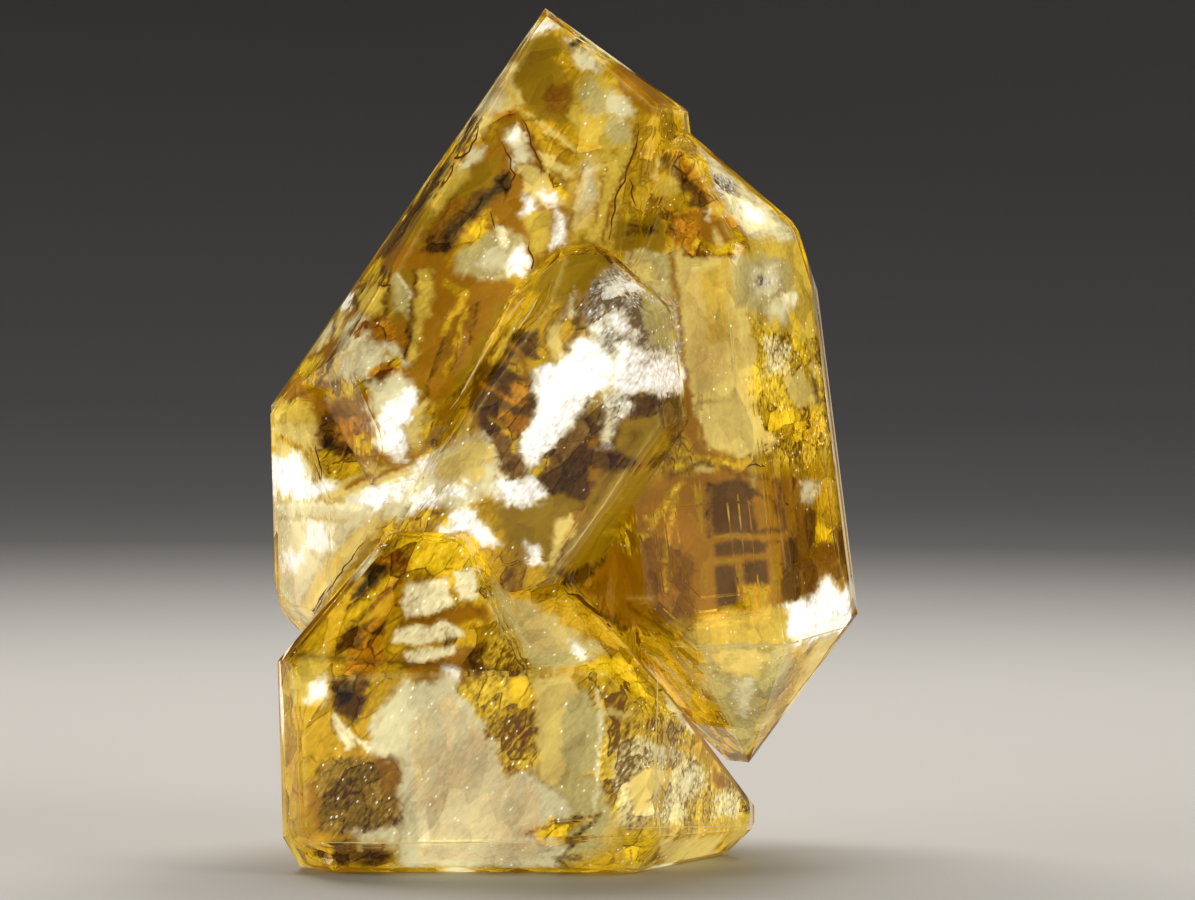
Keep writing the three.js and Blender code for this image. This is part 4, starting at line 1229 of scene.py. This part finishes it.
def liningPiece(look, material):
    bm = sunkenBody(look)
    edgeShadeAndHighlight = [(edgePlaces(look, bm, sunken), *paintedEdgeLine) for sunken, *paintedEdgeLine in look["edgeShadeAndHighlight"]]

    def cellOf(face):
        return look["cell"] if face.normal.dot(front.forward) < -0.1 else look["backCell"]

    points, faces = meshedFaces(bm, cellOf)
    points = np.array([tuple(keptUnder(Vector(point), look["least"] * mm)) for point in points])
    facing = np.zeros(len(points), dtype=bool)
    facing[faces[faceNormals(points, faces) @ np.array(front.forward) < -0.05].ravel()] = True
    chips = sum(steps(points, pitch) * strength for pitch, strength in look["chips"])
    push = (wander(points, look["pitch"]) * look["smooth"])[:, [0, 2]] + chips[:, [0, 2]]
    flat = front.spots(points)
    drift = push * look["rag"] * 2.0
    values = groundValues(look, flat + drift, facing)
    addBackPatches(look, values, points, push, facing)
    values[facing] = frontValues(look, values[facing], flat[facing], drift[facing])
    # painted shade in the creases between the crystals and painted highlight on their standing edges
    for paintedEdgeLine in edgeShadeAndHighlight:
        addPaintedEdgeShading(values, points, push, *paintedEdgeLine)
    # a face that bridges a sharp crease between two crystals is left out
    least = look["least"] * mm
    faces = np.array([face for face in faces if not inAir(Vector(points[face].mean(axis=0)), least)])
    mesh = meshOf("innerLining", points, faces)
    for order, name in enumerate(filmLayers):
        mesh.attributes.new(name, "FLOAT", "POINT").data.foreach_set("value", values[:, 3 + order].copy())
    colours = np.hstack([values[:, :3], np.ones((len(points), 1))])
    mesh.attributes.new("tint", "FLOAT_COLOR", "POINT").data.foreach_set("color", colours.ravel())
    run = grainRun(look, points, flat)
    mesh.attributes.new("run", "FLOAT_VECTOR", "POINT").data.foreach_set("vector", run.ravel())
    addPiece("innerLining", mesh, material)


def strand(tint, paintedGlow, width, depth, reach, stray):
    # thin slivers in the quartz: colour, painted light given off, then in mm their width, their depth under
    # the skin,
    # how much deeper they reach and how far they stray from the line
    return {"tint": tint, "paintedGlow": paintedGlow, "width": width, "depth": depth, "reach": reach, "stray": stray}


strands = {
    "darkCracks": strand((0.15, 0.048, 0.003), 0.7, 0.15, 0.3, 0.4, 0.28),
    "paleLines": strand((0.80, 0.64, 0.24), 0.85, 0.11, 0.25, 0.12, 0.04),
    "goldBars": strand((0.50, 0.29, 0.008), 0.85, 0.36, 0.35, 0.2, 0.04),
}
strandLines = {
    "darkCracks": [
        [(64.0, 12.2), (63.8, 14), (63.1, 16), (62.4, 18.2), (61.6, 20), (61.2, 22.4), (60.8, 24.6)],
        [(63.0, 18), (63.2, 19.4), (63.5, 20.6)],
        [(52.2, 12), (52.9, 13.4), (53.1, 14.4), (53.6, 15.6), (54.2, 17.4)],
        [(47.9, 12), (47.7, 13.6), (46.6, 15.4), (45.4, 16.4), (44.4, 18.4)],
        [(50.2, 14.4), (51, 16), (51.4, 17.6), (50.9, 19)],
        [(49, 21.2), (49.3, 22.4), (49.6, 23)],
        [(66.3, 15.2), (67.6, 16.6), (69.4, 18.8), (70.8, 20.4)],
        [(58.6, 24.2), (60, 25.4), (61, 26.6)],
        [(52.8, 24.2), (53.2, 26), (53.2, 27.4), (53.6, 28)],
        [(74.6, 46.7), (75.4, 46.5), (76.2, 46.8)],
        [(77.4, 49), (78.2, 49.8), (78.7, 50.6)],
        [(65.6, 69.2), (66.4, 69.2), (66.9, 69.5)],
        [(36, 28.9), (37.6, 28.7), (39.2, 28.6)],
        [(31.6, 44.6), (32, 46.4), (32.2, 47.8)],
        [(37, 53.2), (34.6, 56.6), (32, 60.4), (29.2, 65.8)],
        [(56.4, 59), (59, 61), (62, 63.6)],
    ],
    "paleLines": [
        [(50.2, 32.4), (49.4, 34), (48, 36.4), (46.6, 39), (45, 41)],
        [(52.6, 29.8), (51.4, 31.2), (50.4, 32.4)],
        [(53.9, 30), (53.1, 31.4), (52, 33)],
        [(28, 59.4), (29.8, 60.8), (31.2, 62)],
        [(72.3, 26), (73.6, 38.4), (75.2, 45)],
        [(37.8, 51.6), (34.6, 56), (31.6, 61.2)],
        [(62.8, 46.6), (60.4, 50.4), (57.4, 54.6), (55.8, 56.2)],
        [(65.6, 67.2), (65.6, 71.4), (65.5, 80), (65.9, 83.6)],
        [(31, 84.2), (40, 84.3), (52, 84.2)],
        [(62, 82.8), (73, 82.6)],
        [(53.2, 66.7), (58, 66.5), (60.8, 64.9)],
        [(65, 64.4), (70, 64.6), (78.7, 64.3), (85.6, 62.2)],
    ],
    "goldBars": [
        [(70, 48), (70.1, 51), (70.2, 53.4)],
        [(69.5, 48.2), (69.7, 50), (69.9, 52)],
        [(70.4, 56), (70.5, 58), (70.9, 60)],
        [(71.1, 56.2), (74, 55.9), (77.2, 55.5)],
        [(71.2, 53.7), (74, 53.4), (76.8, 53.7)],
        [(77.3, 54.6), (77.4, 57), (77.7, 60)],
        [(74, 56.2), (74, 58), (74, 60.6)],
    ],
}


sliver = {
    "spacing": 0.35,  # about mm between the rings of a sliver
    "longestStep": 0.8,  # mm; a sliver breaks where its next ring would lie farther off, on another crystal
    "leastSlope": 0.35,  # keeps a sliver from sinking too far where its face is seen edge on
    "leastBehind": 0.3,  # mm of quartz left behind it
    "shade": 0.45,  # how dark its colour is where it is darkest
    "bump": 0.4,
    "bumpHeight": 0.3,  # mm
    "emission": 0.9,
}


def underFront(across, down, depth):
    # a spot of the front drawing, carried to depth, in mm, under the skin where the drawing's ray meets it
    eye, aim = front.ray(across, down)
    hit, normal, index, away = skinTree.ray_cast(eye, aim)
    if hit is None:
        return None
    sink = depth * mm / max(sliver["leastSlope"], -normal.dot(aim))
    far = skinTree.ray_cast(hit + aim * 1e-5, aim)
    if far[0] is None or far[3] < sink + sliver["leastBehind"] * mm:
        return None
    return hit + aim * sink


def evenSpots(line):
    # the spots of a drawn line, evenly spaced
    spots = []
    for (ax, ay), (bx, by) in zip(line, line[1:]):
        count = max(1, int(math.hypot(bx - ax, by - ay) / sliver["spacing"]))
        spots += [(ax + (bx - ax) * k / count, ay + (by - ay) * k / count) for k in range(count)]
    return spots + [line[-1]]


def ringAt(look, spots, k, seed):
    # the four corners of a sliver at one of its spots
    x, y = spots[k]
    before = spots[max(k - 1, 0)]
    after = spots[min(k + 1, len(spots) - 1)]
    along = Vector((after[0] - before[0], after[1] - before[1])).normalized()
    push = noise.noise_vector(Vector((x * 1.1, y * 1.1, seed * 2.3))) * look["stray"]
    taper = min(1.0, 4.0 * (k + 0.35) / len(spots), 4.0 * (len(spots) - k - 0.65) / len(spots))
    half = look["width"] * 0.5 * taper * (1 + 0.5 * noise.noise(Vector((x * 2, y * 2, seed))))
    ring = []
    for side, deep in ((-1, 0), (1, 0), (1, 1), (-1, 1)):
        across = x + push.x - along.y * half * side
        down = y + push.y + along.x * half * side
        ring.append(underFront(across, down, look["depth"] + deep * look["reach"]))
    return ring


def unbrokenRuns(look, line, seed):
    # the rings along a drawn line, split where they would leave the quartz or cross to another crystal
    longest = sliver["longestStep"] * mm
    spots = evenSpots(line)
    runs = [[]]
    for k in range(len(spots)):
        ring = ringAt(look, spots, k, seed)
        if any(point is None for point in ring) or (ring[0] - ring[1]).length > longest:
            runs.append([])
            continue
        if runs[-1] and (ring[0] - runs[-1][-1][0]).length > longest:
            runs.append([])
        runs[-1].append(ring)
    return [rings for rings in runs if len(rings) > 1]


def strandPaint(name, look):
    paint = Paint(name)
    tone = paint.noise(paint.place(), 1500, 3)
    colour = paint.mixColour(tone, look["tint"], tuple(part * sliver["shade"] for part in look["tint"]))
    bump = paint.bump(tone, sliver["bump"], sliver["bumpHeight"] * mm)
    sockets = {"Base Color": colour, "Roughness": tone * 0.4 + 0.3, "Normal": bump}
    sockets["Specular IOR Level"] = 0.0
    # painted light: the slivers give off light in their own colour, though no lamp is inside them
    sockets["Emission Color"] = paint.lit(colour, look["paintedGlow"])
    sockets["Emission Strength"] = sliver["emission"]
    paint.material.cycles.emission_sampling = "NONE"
    return paint.finish(paint.node("ShaderNodeBsdfPrincipled", {}, sockets))


def strandPiece(name, look, lines):
    # thin tapered slivers standing in the quartz along drawn lines
    points = []
    faces = []
    for rings in [run for seed, line in enumerate(lines) for run in unbrokenRuns(look, line, seed)]:
        start = len(points)
        points += [point for ring in rings for point in ring]
        for k in range(len(rings) - 1):
            for j in range(4):
                a = start + k * 4 + j
                b = start + k * 4 + (j + 1) % 4
                faces.append([a, b, b + 4, a + 4])
        faces.append([start + 3, start + 2, start + 1, start])
        faces.append([len(points) - 4, len(points) - 3, len(points) - 2, len(points) - 1])
    mesh = bpy.data.meshes.new(name)
    mesh.from_pydata([tuple(point) for point in points], [], faces)
    bm = bmesh.new()
    bm.from_mesh(mesh)
    bmesh.ops.recalc_face_normals(bm, faces=bm.faces)
    bm.to_mesh(mesh)
    bm.free()
    addPiece(name, mesh, strandPaint(name, look))


healedFilm = filmPaint(filmFinish)
for name, look in strands.items():
    strandPiece(name, look, strandLines[name])
skinPiece = addPiece("crystalSkin", skinMesh(skin), quartzPaint(skin))
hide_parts("quartz_cluster")
liningPiece(lining, healedFilm)
addCamera(frontView)
addStudio(studio)
bpy.context.scene.view_settings.view_transform = "Standard"
light = bpy.context.scene.cycles
light.max_bounces = 5
light.diffuse_bounces = 1
light.glossy_bounces = 3
light.transmission_bounces = 5
